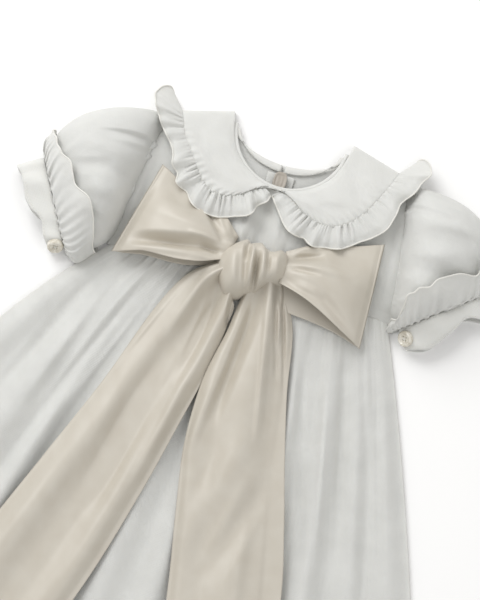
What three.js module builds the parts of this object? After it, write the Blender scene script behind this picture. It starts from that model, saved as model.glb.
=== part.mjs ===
// A baby's christening gown laid flat on its back: gathered long skirt, short yoke bodice, puff
// sleeves with buttoned cuffs, a two-piece frilled collar, a back zip and a satin sash bow.
// Millimetres, +Z up, the neck towards +Y. Everything is first placed about the middle of the
// waist seam on the surface that the gown lies on; the last lines put the origin under its middle.
import * as THREE from "three";

// Driving dimensions: cloth and seams.
const CLOTH = 1.2;
const SEAM = 0.3;
const CUFF_CLOTH = 1.6;
const UNDER_COLLAR = 1.5;
const HIDDEN_COLLAR = { lowestY: 12, overY: 16, halfWidth: 100, overX: 8 };
const LOWEST_FRONT = 2 * CLOTH + SEAM;

// Driving dimensions: the yoke bodice.
const WAIST_Y = -6;
const WAIST_HALF = 102;
const NECK_HALF = 44;
const NECK_POINT_Y = 109;
const FRONT_NECK_DROP = 47;
const BACK_NECK_DROP = 25;
const NECK_SHARE = 0.46;
const SHOULDER_HALF = 91;
const SHOULDER_TIP_Y = 94;
const BODICE_RISE = 7.5;
const ARMHOLE_STARTS = 0.08;
const SHOULDER_FALL = 5;
const SIDE_FALL = 4;

// Driving dimensions: the skirt, cut 530 long and gathered on to the yoke.
const SKIRT_LENGTH = 530;
const SKIRT_DRIFT = -15;
const WALK_STEPS = 60;
const FLARES = {
  left: { hem: 9, extra: 38, fade: 2.4 },
  right: { hem: 9, extra: 13, fade: 1 },
};

// The skirt's folds, from the left side seam to the right one. waist and hem are places across
// half the panel, from -1 to 1, reach is half a fold's width there, and height is its rise.
const SKIRT_FOLDS = [
  { waist: -0.93, hem: -0.92, reach: 0.09, height: 4.5 },
  { waist: -0.68, hem: -0.74, reach: 0.11, height: 7.5 },
  { waist: -0.54, hem: -0.615, reach: 0.055, height: 5.7 },
  { waist: -0.42, hem: -0.48, reach: 0.06, height: 5.5 },
  { waist: -0.3, hem: -0.35, reach: 0.075, height: 5.5 },
  { waist: -0.15, hem: -0.18, reach: 0.085, height: 5.5 },
  { waist: 0, hem: -0.02, reach: 0.075, height: 5.5 },
  { waist: 0.14, hem: 0.12, reach: 0.075, height: 5.5 },
  { waist: 0.28, hem: 0.24, reach: 0.07, height: 5.5 },
  { waist: 0.41, hem: 0.36, reach: 0.06, height: 5.2 },
  { waist: 0.63, hem: 0.51, reach: 0.09, height: 8 },
  { waist: 0.79, hem: 0.7, reach: 0.08, height: 4.5 },
  { waist: 0.9, hem: 0.9, reach: 0.09, height: 5 },
];
const FOLD_TOP = 5.9;
const FOLD_START = 0.15;
const FOLD_GROWN_AT = 0.2;
const YOKE_RISE_ENDS = 0.4;

// Each sleeve's sections from the armhole to the cuff seam: its upper and lower edge on the surface,
// with x as on the right side, and the height of its puff. The right sleeve is turned further down.
const SLEEVES = {
  left: {
    sections: [
      { upX: 91.5, upY: 94.5, lowX: 101.5, lowY: 3, height: 12.5 },
      { upX: 98, upY: 96, lowX: 103.5, lowY: -2, height: 25 },
      { upX: 113, upY: 93.5, lowX: 106.5, lowY: -7, height: 36 },
      { upX: 131, upY: 87, lowX: 111.5, lowY: -12, height: 40 },
      { upX: 149, upY: 76, lowX: 118, lowY: -16.5, height: 37 },
      { upX: 161, upY: 60, lowX: 126, lowY: -19.5, height: 28 },
      { upX: 165, upY: 40, lowX: 132, lowY: -18.5, height: 17 },
    ],
    cuffEnd: { upX: 182, upY: 29, lowX: 148, lowY: -22.5, height: 15.5 },
  },
  right: {
    sections: [
      { upX: 91.5, upY: 94.5, lowX: 101.5, lowY: 3, height: 12.5 },
      { upX: 98, upY: 96, lowX: 103.2, lowY: -0.5, height: 25 },
      { upX: 114, upY: 95, lowX: 104.5, lowY: -2.5, height: 36 },
      { upX: 134, upY: 90, lowX: 105.5, lowY: -4, height: 40 },
      { upX: 152, upY: 79, lowX: 106.5, lowY: -5.2, height: 37 },
      { upX: 165, upY: 61, lowX: 108, lowY: -6.4, height: 28 },
      { upX: 170, upY: 38.5, lowX: 110, lowY: -8, height: 17 },
    ],
    cuffEnd: { upX: 180, upY: 22, lowX: 118.5, lowY: -21, height: 15.5 },
  },
};
const SIDES = { left: -1, right: 1 };
const ROUNDNESS = 2.5;
const SIDE_FOLD_Z = 2.4;

// Gathers round a sleeve: how many there are, their depth, and the share of the sleeve's length
// from the armhole over which they start and die away, and over which the cuff's start.
const GATHERS = { armhole: 10, cuff: 10, depth: 1.1, start: 0.06, end: 0.45, cuffFrom: 0.6, cuffFull: 0.95 };
const SLEEVE_CREASES = [
  { fromX: 84, fromY: 74, toX: 140, toY: 60, reach: 9, depth: 3 },
  { fromX: 92, fromY: 34, toX: 150, toY: 50, reach: 11, depth: 3 },
  { fromX: 96, fromY: 8, toX: 140, toY: 20, reach: 8, depth: 2.5 },
];

// The frill on a cuff seam: the sleeve's floor rises for it, and it lies back over the sleeve.
const CUFF_FRILL_FLOOR = { lift: 1.6, from: 0.3, to: 0.55 };
const CUFF_FRILL = { back: 0.25, waves: 9, wave: 1.5, rise: 2.4, near: 5, far: 7.2 };
const CUFF_SEAM_SHARE = 0.03;
const CUFF_WRAP = { start: 0.65, end: -0.44, lap: 0.09, sideFoldZ: 4.4 };
const CUFF_CRINKLE = { waves: 5, depth: 0.8, lean: 1.2, roll: 1.1 };

// The collar and its frill, for the right half, from the centre front round the neck, over the
// shoulder and under the back: neck edge, frill seam and the frill's outer edge with their heights.
const COLLAR_ROWS = [
  { neckX: 1, neckY: 63.5, neckZ: 13.8, seamX: 5, seamY: 62, seamZ: 14.2, edgeX: -3, edgeY: 57, edgeZ: 17 },
  { neckX: 5, neckY: 64, neckZ: 13.8, seamX: 13, seamY: 58, seamZ: 15, edgeX: 4, edgeY: 47.5, edgeZ: 18.5 },
  { neckX: 10, neckY: 65, neckZ: 13.8, seamX: 21, seamY: 52.5, seamZ: 15.5, edgeX: 13, edgeY: 38, edgeZ: 19 },
  { neckX: 15, neckY: 66.5, neckZ: 13.6, seamX: 31, seamY: 48.5, seamZ: 15.8, edgeX: 26, edgeY: 32, edgeZ: 19.2 },
  { neckX: 20, neckY: 69, neckZ: 13.2, seamX: 41, seamY: 47.5, seamZ: 16, edgeX: 40, edgeY: 30, edgeZ: 19.2 },
  { neckX: 25.5, neckY: 72.5, neckZ: 12.6, seamX: 51, seamY: 51, seamZ: 16, edgeX: 56, edgeY: 34.5, edgeZ: 19.2 },
  { neckX: 31, neckY: 77.5, neckZ: 11.8, seamX: 59, seamY: 58, seamZ: 15.8, edgeX: 71, edgeY: 44.5, edgeZ: 19.2 },
  { neckX: 35.5, neckY: 83, neckZ: 10.8, seamX: 65.5, seamY: 67, seamZ: 15.2, edgeX: 80.5, edgeY: 56, edgeZ: 19.2 },
  { neckX: 39.5, neckY: 91, neckZ: 9.4, seamX: 71.5, seamY: 78.5, seamZ: 14, edgeX: 85, edgeY: 70, edgeZ: 19 },
  { neckX: 42.5, neckY: 100, neckZ: 8, seamX: 76.5, seamY: 89.5, seamZ: 12, edgeX: 91, edgeY: 84, edgeZ: 19 },
  { neckX: 44, neckY: 107, neckZ: 7, seamX: 79.5, seamY: 97, seamZ: 9.5, edgeX: 96, edgeY: 98, edgeZ: 18 },
  { neckX: 45.2, neckY: 111.6, neckZ: 5.8, seamX: 81, seamY: 101.2, seamZ: 6.8, edgeX: 97.5, edgeY: 108, edgeZ: 13 },
  { neckX: 45.6, neckY: 113, neckZ: 3.4, seamX: 81.4, seamY: 102.6, seamZ: 3.6, edgeX: 92, edgeY: 114, edgeZ: 7 },
  { neckX: 45.2, neckY: 112, neckZ: 0.3, seamX: 81, seamY: 101.8, seamZ: 0.3, edgeX: 88, edgeY: 106, edgeZ: 1.2 },
  { neckX: 44, neckY: 107, neckZ: 0, seamX: 79, seamY: 96.5, seamZ: 0, edgeX: 86, edgeY: 94, edgeZ: 0 },
  { neckX: 38, neckY: 96.4, neckZ: 0, seamX: 74, seamY: 84, seamZ: 0, edgeX: 84, edgeY: 79, edgeZ: 0 },
  { neckX: 26, neckY: 88.8, neckZ: 0, seamX: 60, seamY: 65, seamZ: 0, edgeX: 71, edgeY: 55, edgeZ: 0 },
  { neckX: 12, neckY: 85, neckZ: 0, seamX: 37, seamY: 50.5, seamZ: 0, edgeX: 42, edgeY: 36, edgeZ: 0 },
  { neckX: 1.2, neckY: 84, neckZ: 0, seamX: 2.5, seamY: 47, seamZ: 0, edgeX: 1.5, edgeY: 31, edgeZ: 0 },
];
const LAST_FRONT_ROW = 10;
const LEFT_COLLAR_LEAN = { most: 5, endsX: 36, endsY: 85, overY: 25 };
const COLLAR_ROLL = { height: 1.2, overRows: 3 };
const COLLAR_FRILL = { waves: 12, height: 2, leftShift: 0.6, overRows: 1.5 };

// The sash bow: loops, knot and tails, folded from one satin sash 72 wide.
const LOOPS = {
  left: {
    knot: { lowX: -26, lowY: 0, highX: -23, highY: 20 },
    end: { lowX: -99.5, lowY: -13.5, highX: -83, highY: 57 },
    waist: { low: -7, high: 3 },
    underDrop: 0,
  },
  right: {
    knot: { lowX: 24.5, lowY: -3, highX: 23.5, highY: 21 },
    end: { lowX: 86, lowY: -31, highX: 84, highY: 46 },
    waist: { low: 3, high: 1 },
    underDrop: 15,
  },
};
const LOOP_HEIGHTS = [
  { top: 27, under: 14.4 },
  { top: 31.5, under: 14.2 },
  { top: 31, under: 13.6 },
  { top: 26.5, under: 13.2 },
  { top: 17.5, under: 14 },
];
const LOOP_UPPER_EDGE_Z = 15.4;
const LOOP_PLEATS = 2.5;
const LOOP_PLEAT_HEIGHT = 2.6;
const KNOT_OUTLINE = [
  { angle: 0, reach: 22 },
  { angle: 30, reach: 24 },
  { angle: 50, reach: 26 },
  { angle: 75, reach: 20 },
  { angle: 100, reach: 21.5 },
  { angle: 125, reach: 22.5 },
  { angle: 150, reach: 24 },
  { angle: 180, reach: 24 },
  { angle: 215, reach: 23 },
  { angle: 245, reach: 22 },
  { angle: 275, reach: 18 },
  { angle: 310, reach: 16 },
  { angle: 340, reach: 20.5 },
  { angle: 360, reach: 22 },
];
const KNOT = { bottom: 11.3, middle: 22, top: 38, grooveX: 1, grooveDepth: 5, grooveReach: 7 };
const TAIL_SECTIONS = {
  left: [
    { leftX: -27.5, leftY: -4, rightX: -17, rightY: -23, lift: 7 },
    { leftX: -45, leftY: -18, rightX: -11.5, rightY: -42, lift: 4 },
    { leftX: -58, leftY: -48, rightX: -15.5, rightY: -72, lift: 1 },
    { leftX: -78, leftY: -100, rightX: -24, rightY: -114, lift: 0 },
    { leftX: -102, leftY: -160, rightX: -37, rightY: -164, lift: 0 },
    { leftX: -127, leftY: -222, rightX: -56, rightY: -229, lift: 0 },
    { leftX: -152, leftY: -290, rightX: -81, rightY: -302, lift: 0 },
    { leftX: -176, leftY: -352, rightX: -106, rightY: -384, lift: 0 },
  ],
  right: [
    { leftX: -3.5, leftY: -21, rightX: 22, rightY: -12.5, lift: 0.4 },
    { leftX: -6.5, leftY: -46, rightX: 38, rightY: -34, lift: 3.5 },
    { leftX: -13, leftY: -82, rightX: 46, rightY: -76, lift: 2 },
    { leftX: -13, leftY: -126, rightX: 58, rightY: -124, lift: 0 },
    { leftX: -6, leftY: -170, rightX: 69, rightY: -164, lift: 0 },
    { leftX: 4, leftY: -224, rightX: 80, rightY: -212, lift: 0 },
    { leftX: 14, leftY: -296, rightX: 87, rightY: -284, lift: 0 },
    { leftX: 24, leftY: -404, rightX: 94, rightY: -364, lift: 0 },
  ],
};
// Soft folds across each tail: place from 0 at the left edge to 1 at the right, at the knot and at
// the end, half width, height at the knot and height at the end.
const TAIL_FOLDS = {
  left: [
    { start: 0.3, end: 0.25, reach: 0.28, height: 5, left: 1.5 },
    { start: 0.75, end: 0.7, reach: 0.24, height: 3, left: 2 },
  ],
  right: [
    { start: 0.12, end: 0.15, reach: 0.16, height: 3.5, left: 1.5 },
    { start: 0.62, end: 0.72, reach: 0.24, height: 7, left: 3 },
  ],
};

// Small hard pieces.
const BUTTON = { radius: 5.75, height: 2.8, rim: 0.8, dish: 3.6, place: 0.19, across: 0.5 };
const ZIP = { tapeHalf: 10, tapeHeight: 0.8, coilHalf: 2.6, coilHeight: 2, top: 77, bottom: -104 };
const SLIDER = { length: 12.5, topHalf: 3, halfWidth: 4.4, height: 3, x: 0, top: 77.5 };
const BINDING = { width: 3.4, arch: 0.4, height: 1.35, share: 0.94 };
const BACK_BINDING = { width: 5.5, arch: 0.85, from: 0.15, to: 1.25 };

const WHITE_VOILE = { color: 0xe9e8e2, roughness: 0.9, metalness: 0 };
const SATIN = { color: 0xd8d0c0, roughness: 0.42, metalness: 0 };
const PEARL = { color: 0xe4e2da, roughness: 0.25, metalness: 0 };
const ZIP_METAL = { color: 0xbdb6aa, roughness: 0.45, metalness: 0 };

const clamp = (x, low = 0, high = 1) => Math.min(high, Math.max(low, x));
const mix = (a, b, w) => a + (b - a) * w;
const bump = (x) => (Math.abs(x) < 1 ? Math.cos((Math.PI / 2) * x) ** 2 : 0);
const signedPower = (x, p) => Math.sign(x) * Math.abs(x) ** p;

function ease(x) {
  const w = clamp(x);
  return w * w * (3 - 2 * w);
}

// The value of a table's column at a place along its rows, on a smooth curve through them.
function along(rows, place, column) {
  const last = rows.length - 1;
  const i = Math.min(last - 1, Math.max(0, Math.floor(place)));
  const w = place - i;
  const at = (k) => rows[clamp(k, 0, last)][column];
  const [a, b, c, d] = [at(i - 1), at(i), at(i + 1), at(i + 2)];
  return b + 0.5 * w * (c - a + w * (2 * a - 5 * b + 4 * c - d + w * (3 * (b - c) + d - a)));
}

// A closed cloth wall from two grids of points, face and back, as [column][row]. A ring's last
// column meets its first.
function closedWall(face, back, ring) {
  const columns = face.length;
  const rows = face[0].length;
  const positions = [];
  for (const grid of [face, back]) {
    for (const column of grid) for (const p of column) positions.push(p.x, p.y, p.z);
  }
  const faceAt = (i, j) => (i % columns) * rows + j;
  const backAt = (i, j) => columns * rows + faceAt(i, j);
  const index = [];
  const quad = (a, b, c, d) => index.push(a, b, c, a, c, d);
  const spans = ring ? columns : columns - 1;
  for (let i = 0; i < spans; i++) {
    for (let j = 0; j < rows - 1; j++) {
      quad(faceAt(i, j), faceAt(i + 1, j), faceAt(i + 1, j + 1), faceAt(i, j + 1));
      quad(backAt(i, j + 1), backAt(i + 1, j + 1), backAt(i + 1, j), backAt(i, j));
    }
    quad(faceAt(i + 1, 0), faceAt(i, 0), backAt(i, 0), backAt(i + 1, 0));
    const end = rows - 1;
    quad(faceAt(i, end), faceAt(i + 1, end), backAt(i + 1, end), backAt(i, end));
  }
  if (!ring) {
    const end = columns - 1;
    for (let j = 0; j < rows - 1; j++) {
      quad(faceAt(0, j), faceAt(0, j + 1), backAt(0, j + 1), backAt(0, j));
      quad(faceAt(end, j + 1), faceAt(end, j), backAt(end, j), backAt(end, j + 1));
    }
  }
  return outward(positions, index);
}

// A geometry with its faces turned so that the volume inside is positive.
function outward(positions, index) {
  const point = (k) => new THREE.Vector3().fromArray(positions, 3 * k);
  let volume = 0;
  for (let k = 0; k < index.length; k += 3) {
    const [a, b, c] = [point(index[k]), point(index[k + 1]), point(index[k + 2])];
    volume += a.dot(b.cross(c));
  }
  if (volume < 0) index.reverse();
  const geometry = new THREE.BufferGeometry();
  geometry.setAttribute("position", new THREE.Float32BufferAttribute(positions, 3));
  geometry.setIndex(index);
  geometry.computeVertexNormals();
  return geometry;
}

// Points of a surface at the given places, as [column][row].
const gridOf = (us, vs, surface) => us.map((u) => vs.map((v) => surface(u, v)));

// Steps from one number to another, both included.
const steps = (from, to, count) =>
  Array.from({ length: count + 1 }, (_, k) => mix(from, to, k / count));

// The grid moved along its own normals by a distance, to the side that `towards` points to.
function offsetGrid(grid, distance, ring, towards) {
  const columns = grid.length;
  const rows = grid[0].length;
  return grid.map((column, i) =>
    column.map((p, j) => {
      const before = ring ? (i + columns - 1) % columns : Math.max(0, i - 1);
      const after = ring ? (i + 1) % columns : Math.min(columns - 1, i + 1);
      const acrossIt = grid[after][j].clone().sub(grid[before][j]);
      const alongIt = column[Math.min(rows - 1, j + 1)].clone().sub(column[Math.max(0, j - 1)]);
      const normal = acrossIt.cross(alongIt).normalize();
      return p.clone().addScaledVector(normal, distance * towards);
    }),
  );
}

// Cloth that lies like a sheet: its back is straight below its face, further where it is steep,
// up to a lean of one and a half times.
function loweredGrid(grid, thickness) {
  const lean = 1.5;
  const level = offsetGrid(grid, 1, false, 1);
  return grid.map((column, i) =>
    column.map((p, j) => {
      const up = Math.max(1 / lean, Math.abs(level[i][j].z - p.z));
      return new THREE.Vector3(p.x, p.y, p.z - thickness / up);
    }),
  );
}

// How far the back bodice stands off the surface, on the collar's hidden half.
function lay(x, y) {
  const { lowestY, overY, halfWidth, overX } = HIDDEN_COLLAR;
  return UNDER_COLLAR * ease((y - lowestY) / overY) * ease((halfWidth - Math.abs(x)) / overX);
}

// The bodice's outline: across from -1 to 1 between its sides, up from 0 at the waist seam to 1.
function bodicePlan(across, up, neckDrop) {
  const half = Math.abs(across);
  const turn = (half / NECK_SHARE) * (Math.PI / 2);
  const past = (half - NECK_SHARE) / (1 - NECK_SHARE);
  const inNeck = half < NECK_SHARE;
  const topX = inNeck ? NECK_HALF * Math.sin(turn) : mix(NECK_HALF, SHOULDER_HALF, past);
  const topY = inNeck
    ? NECK_POINT_Y - neckDrop * Math.cos(turn)
    : mix(NECK_POINT_Y, SHOULDER_TIP_Y, past);
  const x = mix(half * WAIST_HALF, topX, up) * Math.sign(across);
  return { x, y: mix(WAIST_Y, topY, up), neck: inNeck ? Math.cos(turn) : 0 };
}

// The armhole's share of the rise along the bodice's side.
function armholeRise(up) {
  return Math.sin(Math.PI * clamp((up - ARMHOLE_STARTS) / (1 - ARMHOLE_STARTS))) ** 0.7;
}

function bodiceFrontFace(across, up) {
  const { x, y, neck } = bodicePlan(across, up, FRONT_NECK_DROP);
  const side = 1 - across ** SIDE_FALL * (1 - armholeRise(up));
  const top = 1 - up ** SHOULDER_FALL * (1 - neck);
  return new THREE.Vector3(x, y, lay(x, y) + LOWEST_FRONT + BODICE_RISE * side * top);
}

// Places across the bodice, with one at each end of the neck.
const NECK_TURNS = steps(-1, 1, 12);
const BODICE_ACROSS = [
  ...steps(-1, -NECK_SHARE, 6).slice(0, -1),
  ...NECK_TURNS.map((turn) => turn * NECK_SHARE),
  ...steps(NECK_SHARE, 1, 6).slice(1),
];

function bodiceFront() {
  const face = gridOf(BODICE_ACROSS, steps(0, 1, 7), bodiceFrontFace);
  return closedWall(face, loweredGrid(face, CLOTH), false);
}

function bodiceBack(side) {
  const place = (half, up) => {
    const { x, y } = bodicePlan(half, up, BACK_NECK_DROP);
    const out = x + SEAM / 2;
    return new THREE.Vector3(side * out, y, lay(out, y));
  };
  const halves = BODICE_ACROSS.filter((across) => across > -1e-9);
  const under = gridOf(halves, steps(0, 1, 5), place);
  const top = under.map((column) => column.map((p) => p.clone().setZ(p.z + CLOTH)));
  return closedWall(under, top, false);
}

// A side seam of the skirt, walked down from the waist seam at a flare that fades to the hem's.
function sideSeam(side) {
  const flare = FLARES[side];
  const sign = side === "left" ? -1 : 1;
  const seam = [{ x: sign * WAIST_HALF, y: WAIST_Y - SEAM }];
  for (let k = 0; k < WALK_STEPS; k++) {
    const left = 1 - (k + 0.5) / WALK_STEPS;
    const lean = THREE.MathUtils.degToRad(flare.hem + flare.extra * left ** flare.fade);
    const stride = SKIRT_LENGTH / WALK_STEPS;
    const { x, y } = seam[k];
    seam.push({ x: x + sign * stride * Math.sin(lean), y: y - stride * Math.cos(lean) });
  }
  return seam;
}

const SIDE_SEAMS = { left: sideSeam("left"), right: sideSeam("right") };

// The skirt's outline: across from -1 to 1 between its side seams, down from 0 to 1 at the hem.
function skirtPlan(across, down) {
  const seam = SIDE_SEAMS[across < 0 ? "left" : "right"];
  const half = Math.abs(across);
  const middleX = SKIRT_DRIFT * down ** 2;
  const middleY = WAIST_Y - SEAM - SKIRT_LENGTH * down;
  const sideX = along(seam, down * WALK_STEPS, "x");
  const sideY = along(seam, down * WALK_STEPS, "y");
  return { x: mix(middleX, sideX, half), y: mix(middleY, sideY, across ** 2) };
}

// The share of the yoke's rise that the cloth still has, and how far its folds have grown.
const yokeShare = (down) => 1 - ease(down / YOKE_RISE_ENDS);
const foldShare = (down) => mix(FOLD_START, 1, ease(down / FOLD_GROWN_AT));

function skirtFrontFace(across, down) {
  const { x, y } = skirtPlan(across, down);
  const folds = SKIRT_FOLDS.reduce((sum, fold) => {
    const middle = mix(fold.waist, fold.hem, 1 - (1 - down) ** 2);
    return sum + fold.height * bump((across - middle) / fold.reach);
  }, 0);
  const yoke = BODICE_RISE * (1 - across ** SIDE_FALL) * yokeShare(down);
  return new THREE.Vector3(x, y, LOWEST_FRONT + yoke + folds * foldShare(down));
}

// Steps down the skirt, closer together near the yoke.
const downSteps = (count) => steps(0, 1, count).map((w) => mix(w, w ** 2, 0.45));

function skirtFront() {
  const face = gridOf(steps(-1, 1, 74), downSteps(11), skirtFrontFace);
  return closedWall(face, loweredGrid(face, CLOTH), false);
}

function skirtBack(side) {
  const place = (half, down) => {
    const { x, y } = skirtPlan(side * half, down);
    const seamAllowance = side * (SEAM / 2) * (1 - half);
    return new THREE.Vector3(x + seamAllowance, y, 0);
  };
  const under = gridOf(steps(1e-6, 1, 6), downSteps(7), place);
  const top = under.map((column) => column.map((p) => p.clone().setZ(CLOTH)));
  return closedWall(under, top, false);
}

// A soft trough pressed into puffed cloth, from one place to another on the plan.
function trough(x, y, crease) {
  const [dx, dy] = [crease.toX - crease.fromX, crease.toY - crease.fromY];
  const length = Math.hypot(dx, dy);
  const [px, py] = [x - crease.fromX, y - crease.fromY];
  const there = (px * dx + py * dy) / length ** 2;
  const off = (px * dy - py * dx) / length;
  return crease.depth * bump(2 * (there - 0.5)) * bump(off / crease.reach);
}

// A flattened cloth tube between two edges: turn runs 0 to 1 round it, over the top from the
// upper edge to the lower one and back along the surface.
function flatTube(upper, lower, height, floor, sideFoldZ, turn) {
  const angle = 2 * Math.PI * turn;
  const q = 0.5 + 0.5 * signedPower(Math.cos(angle), 2 / ROUNDNESS);
  const rise = signedPower(Math.sin(angle), 2 / ROUNDNESS);
  const side = floor + sideFoldZ;
  const z = rise > 0 ? mix(side, height, rise) : mix(side, floor, clamp(-1.5 * rise));
  return new THREE.Vector3(mix(lower.x, upper.x, q), mix(lower.y, upper.y, q), z);
}

// How far round its tube a place is on top: 1 in the middle, 0 at the edges and underneath.
const onTop = (turn) => Math.max(0, Math.sin(2 * Math.PI * turn));

// The edges of a sleeve's section, at a place from 0 at the armhole to 1 at the cuff seam.
function sleeveSection(sections, out) {
  const at = (column) => along(sections, out * (sections.length - 1), column);
  return {
    upper: { x: at("upX"), y: at("upY") },
    lower: { x: at("lowX"), y: at("lowY") },
    height: at("height"),
  };
}

// A sleeve's outer face, with x as on the right side: turn round it, out from 0 to 1 at the cuff.
function sleeveFace(name, turn, out) {
  const { upper, lower, height } = sleeveSection(SLEEVES[name].sections, out);
  const { lift, from, to } = CUFF_FRILL_FLOOR;
  const floor = lift * ease((out - from) / (to - from));
  const p = flatTube(upper, lower, height, floor, SIDE_FOLD_Z, turn);
  const { armhole, cuff, depth, start, end, cuffFrom, cuffFull } = GATHERS;
  const head = ease(out / start) * (1 - ease(out / end));
  const wrist = ease((out - cuffFrom) / (cuffFull - cuffFrom));
  const armholeWaves = Math.cos(4 * Math.PI * armhole * turn) * head;
  const cuffWaves = Math.cos(4 * Math.PI * cuff * turn) * wrist;
  const creases = SLEEVE_CREASES.reduce((sum, crease) => sum + trough(p.x, p.y, crease), 0);
  p.z += Math.sqrt(onTop(turn)) * depth * (armholeWaves + cuffWaves);
  p.z -= onTop(turn) * creases * ease(out / (2 * start));
  return p;
}

// Places round a flattened tube: close together over the top, further apart underneath.
const roundSteps = (over, under) => [
  ...steps(0, 0.5, over).slice(0, -1),
  ...steps(0.5, 1, under).slice(0, -1),
];

const mirrored = (grid, side) =>
  grid.map((column) => column.map((p) => new THREE.Vector3(side * p.x, p.y, p.z)));

function tubeWall(face, thickness, side) {
  const wall = mirrored(face, side);
  return closedWall(wall, offsetGrid(wall, thickness, true, insideOf(wall)), true);
}

// Which way along its normals a tube's inside lies.
function insideOf(wall) {
  const columns = wall.length;
  const top = Math.round(columns * 0.4);
  const moved = offsetGrid(wall, 1, true, 1);
  return moved[top][1].z < wall[top][1].z ? 1 : -1;
}

function sleeve(name) {
  const place = (turn, out) => sleeveFace(name, turn, out);
  return tubeWall(gridOf(roundSteps(40, 6), steps(0, 1, 8), place), CLOTH, SIDES[name]);
}

// The gathered frill on a cuff seam: from the seam it lies back over the puff, standing off it,
// and spreads past the sleeve's two edges.
function cuffFrill(name) {
  const { back, waves, wave, rise, near, far } = CUFF_FRILL;
  const { upper, lower } = sleeveSection(SLEEVES[name].sections, 1);
  const across = new THREE.Vector2(upper.x - lower.x, upper.y - lower.y).normalize();
  const place = (turn, outwards) => {
    const p = sleeveFace(name, turn, 1 - back * outwards);
    const over = onTop(turn) ** 0.35;
    const ruffle = wave * outwards * Math.sin(4 * Math.PI * waves * turn + 1);
    const stand = CLOTH + SEAM + 2 * GATHERS.depth + rise * outwards + ruffle;
    const spread = mix(near, far, outwards) * Math.cos(2 * Math.PI * turn);
    const z = over > 0 ? p.z + over * stand : Math.max(0, p.z - CUFF_FRILL_FLOOR.lift);
    return new THREE.Vector3(p.x + across.x * spread, p.y + across.y * spread, z);
  };
  return tubeWall(gridOf(roundSteps(40, 6), steps(0, 1, 2), place), CLOTH, SIDES[name]);
}

// The cuff band, wrapped once round the wrist with its buttoned end lapped over the other. It is
// soft, so its top is rolled and crinkled, and it sinks by its own thickness and a gap under the lap.
function cuffBandFace(name, turnOn, out) {
  const { start, end, lap, sideFoldZ } = CUFF_WRAP;
  const { sections, cuffEnd } = SLEEVES[name];
  const seam = sections[sections.length - 1];
  const reach = mix(CUFF_SEAM_SHARE, 1, out);
  const upper = { x: mix(seam.upX, cuffEnd.upX, reach), y: mix(seam.upY, cuffEnd.upY, reach) };
  const lower = { x: mix(seam.lowX, cuffEnd.lowX, reach), y: mix(seam.lowY, cuffEnd.lowY, reach) };
  const height = mix(seam.height, cuffEnd.height, reach);
  const turn = mix(start, end, turnOn) + 1;
  const p = flatTube(upper, lower, height, 0, sideFoldZ, turn % 1);
  const { waves, depth, lean, roll } = CUFF_CRINKLE;
  const crinkle = depth * Math.cos(4 * Math.PI * waves * turn + lean * out);
  p.z += Math.sqrt(onTop(turn)) * (crinkle + roll * Math.sin(Math.PI * out));
  const sunk = (CUFF_CLOTH + SEAM) * (1 - ease((1 - turnOn) / (2 * lap)));
  const [cx, cy] = [(upper.x + lower.x) / 2, (upper.y + lower.y) / 2];
  const inward = new THREE.Vector3(cx - p.x, cy - p.y, height / 2 - p.z).normalize();
  return p.addScaledVector(inward, sunk);
}

// Which way along its normals an open wall's underside lies, by a place on its top.
function underOf(wall, column, row) {
  const moved = offsetGrid(wall, 1, false, 1);
  return moved[column][row].z < wall[column][row].z ? 1 : -1;
}

function cuffBand(name) {
  const place = (turnOn, out) => cuffBandFace(name, turnOn, out);
  const wall = mirrored(gridOf(steps(0, 1, 26), steps(0, 1, 2), place), SIDES[name]);
  return closedWall(wall, offsetGrid(wall, CUFF_CLOTH, false, underOf(wall, 6, 1)), false);
}

// Left rows lean towards the middle of the front, as the left collar half lies.
function collarPoint(row, edge, side) {
  const at = (column) => along(COLLAR_ROWS, row, edge + column);
  const [x, y] = [at("X"), at("Y")];
  const leans = side < 0 && edge !== "neck" && row < LAST_FRONT_ROW;
  const { most, endsX, endsY, overY } = LEFT_COLLAR_LEAN;
  const lean = leans ? most * (1 - x / endsX) * ease((endsY - y) / overY) : 0;
  return new THREE.Vector3(side * (x + lean), y, at("Z"));
}

const collarRows = (perFront) => [
  ...steps(0, LAST_FRONT_ROW, perFront * LAST_FRONT_ROW).slice(0, -1),
  ...steps(LAST_FRONT_ROW, COLLAR_ROWS.length - 1, COLLAR_ROWS.length - 1 - LAST_FRONT_ROW),
];

function collarFace(side) {
  return (row, out) => {
    const neck = collarPoint(row, "neck", side);
    const seam = collarPoint(row, "seam", side);
    const onFront = ease((LAST_FRONT_ROW - row) / COLLAR_ROLL.overRows);
    const p = neck.lerp(seam, out);
    p.z += COLLAR_ROLL.height * Math.sin(Math.PI * out) * onFront;
    return p;
  };
}

// Cloth round the shoulder fold: the wall's back lies towards the body.
function foldedWall(face, side) {
  return closedWall(face, offsetGrid(face, CLOTH, false, side), false);
}

function collar(side) {
  return foldedWall(gridOf(collarRows(2), steps(0, 1, 3), collarFace(side)), side);
}

function frillFace(side) {
  return (row, out) => {
    const seam = collarPoint(row, "seam", side);
    const edge = collarPoint(row, "edge", side);
    const start = (3 * SEAM) / seam.distanceTo(edge);
    const p = seam.lerp(edge, mix(start, 1, out));
    const { waves, height, leftShift, overRows } = COLLAR_FRILL;
    const turns = (row / LAST_FRONT_ROW) * waves + (side < 0 ? leftShift : 0);
    const wave = Math.sin(2 * Math.PI * turns) * Math.sin((Math.PI * out) / 1.6);
    p.z += height * wave * ease((LAST_FRONT_ROW - row) / overRows);
    return p;
  };
}

function collarFrill(side) {
  return foldedWall(gridOf(collarRows(6), steps(0, 1, 2), frillFace(side)), side);
}

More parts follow.
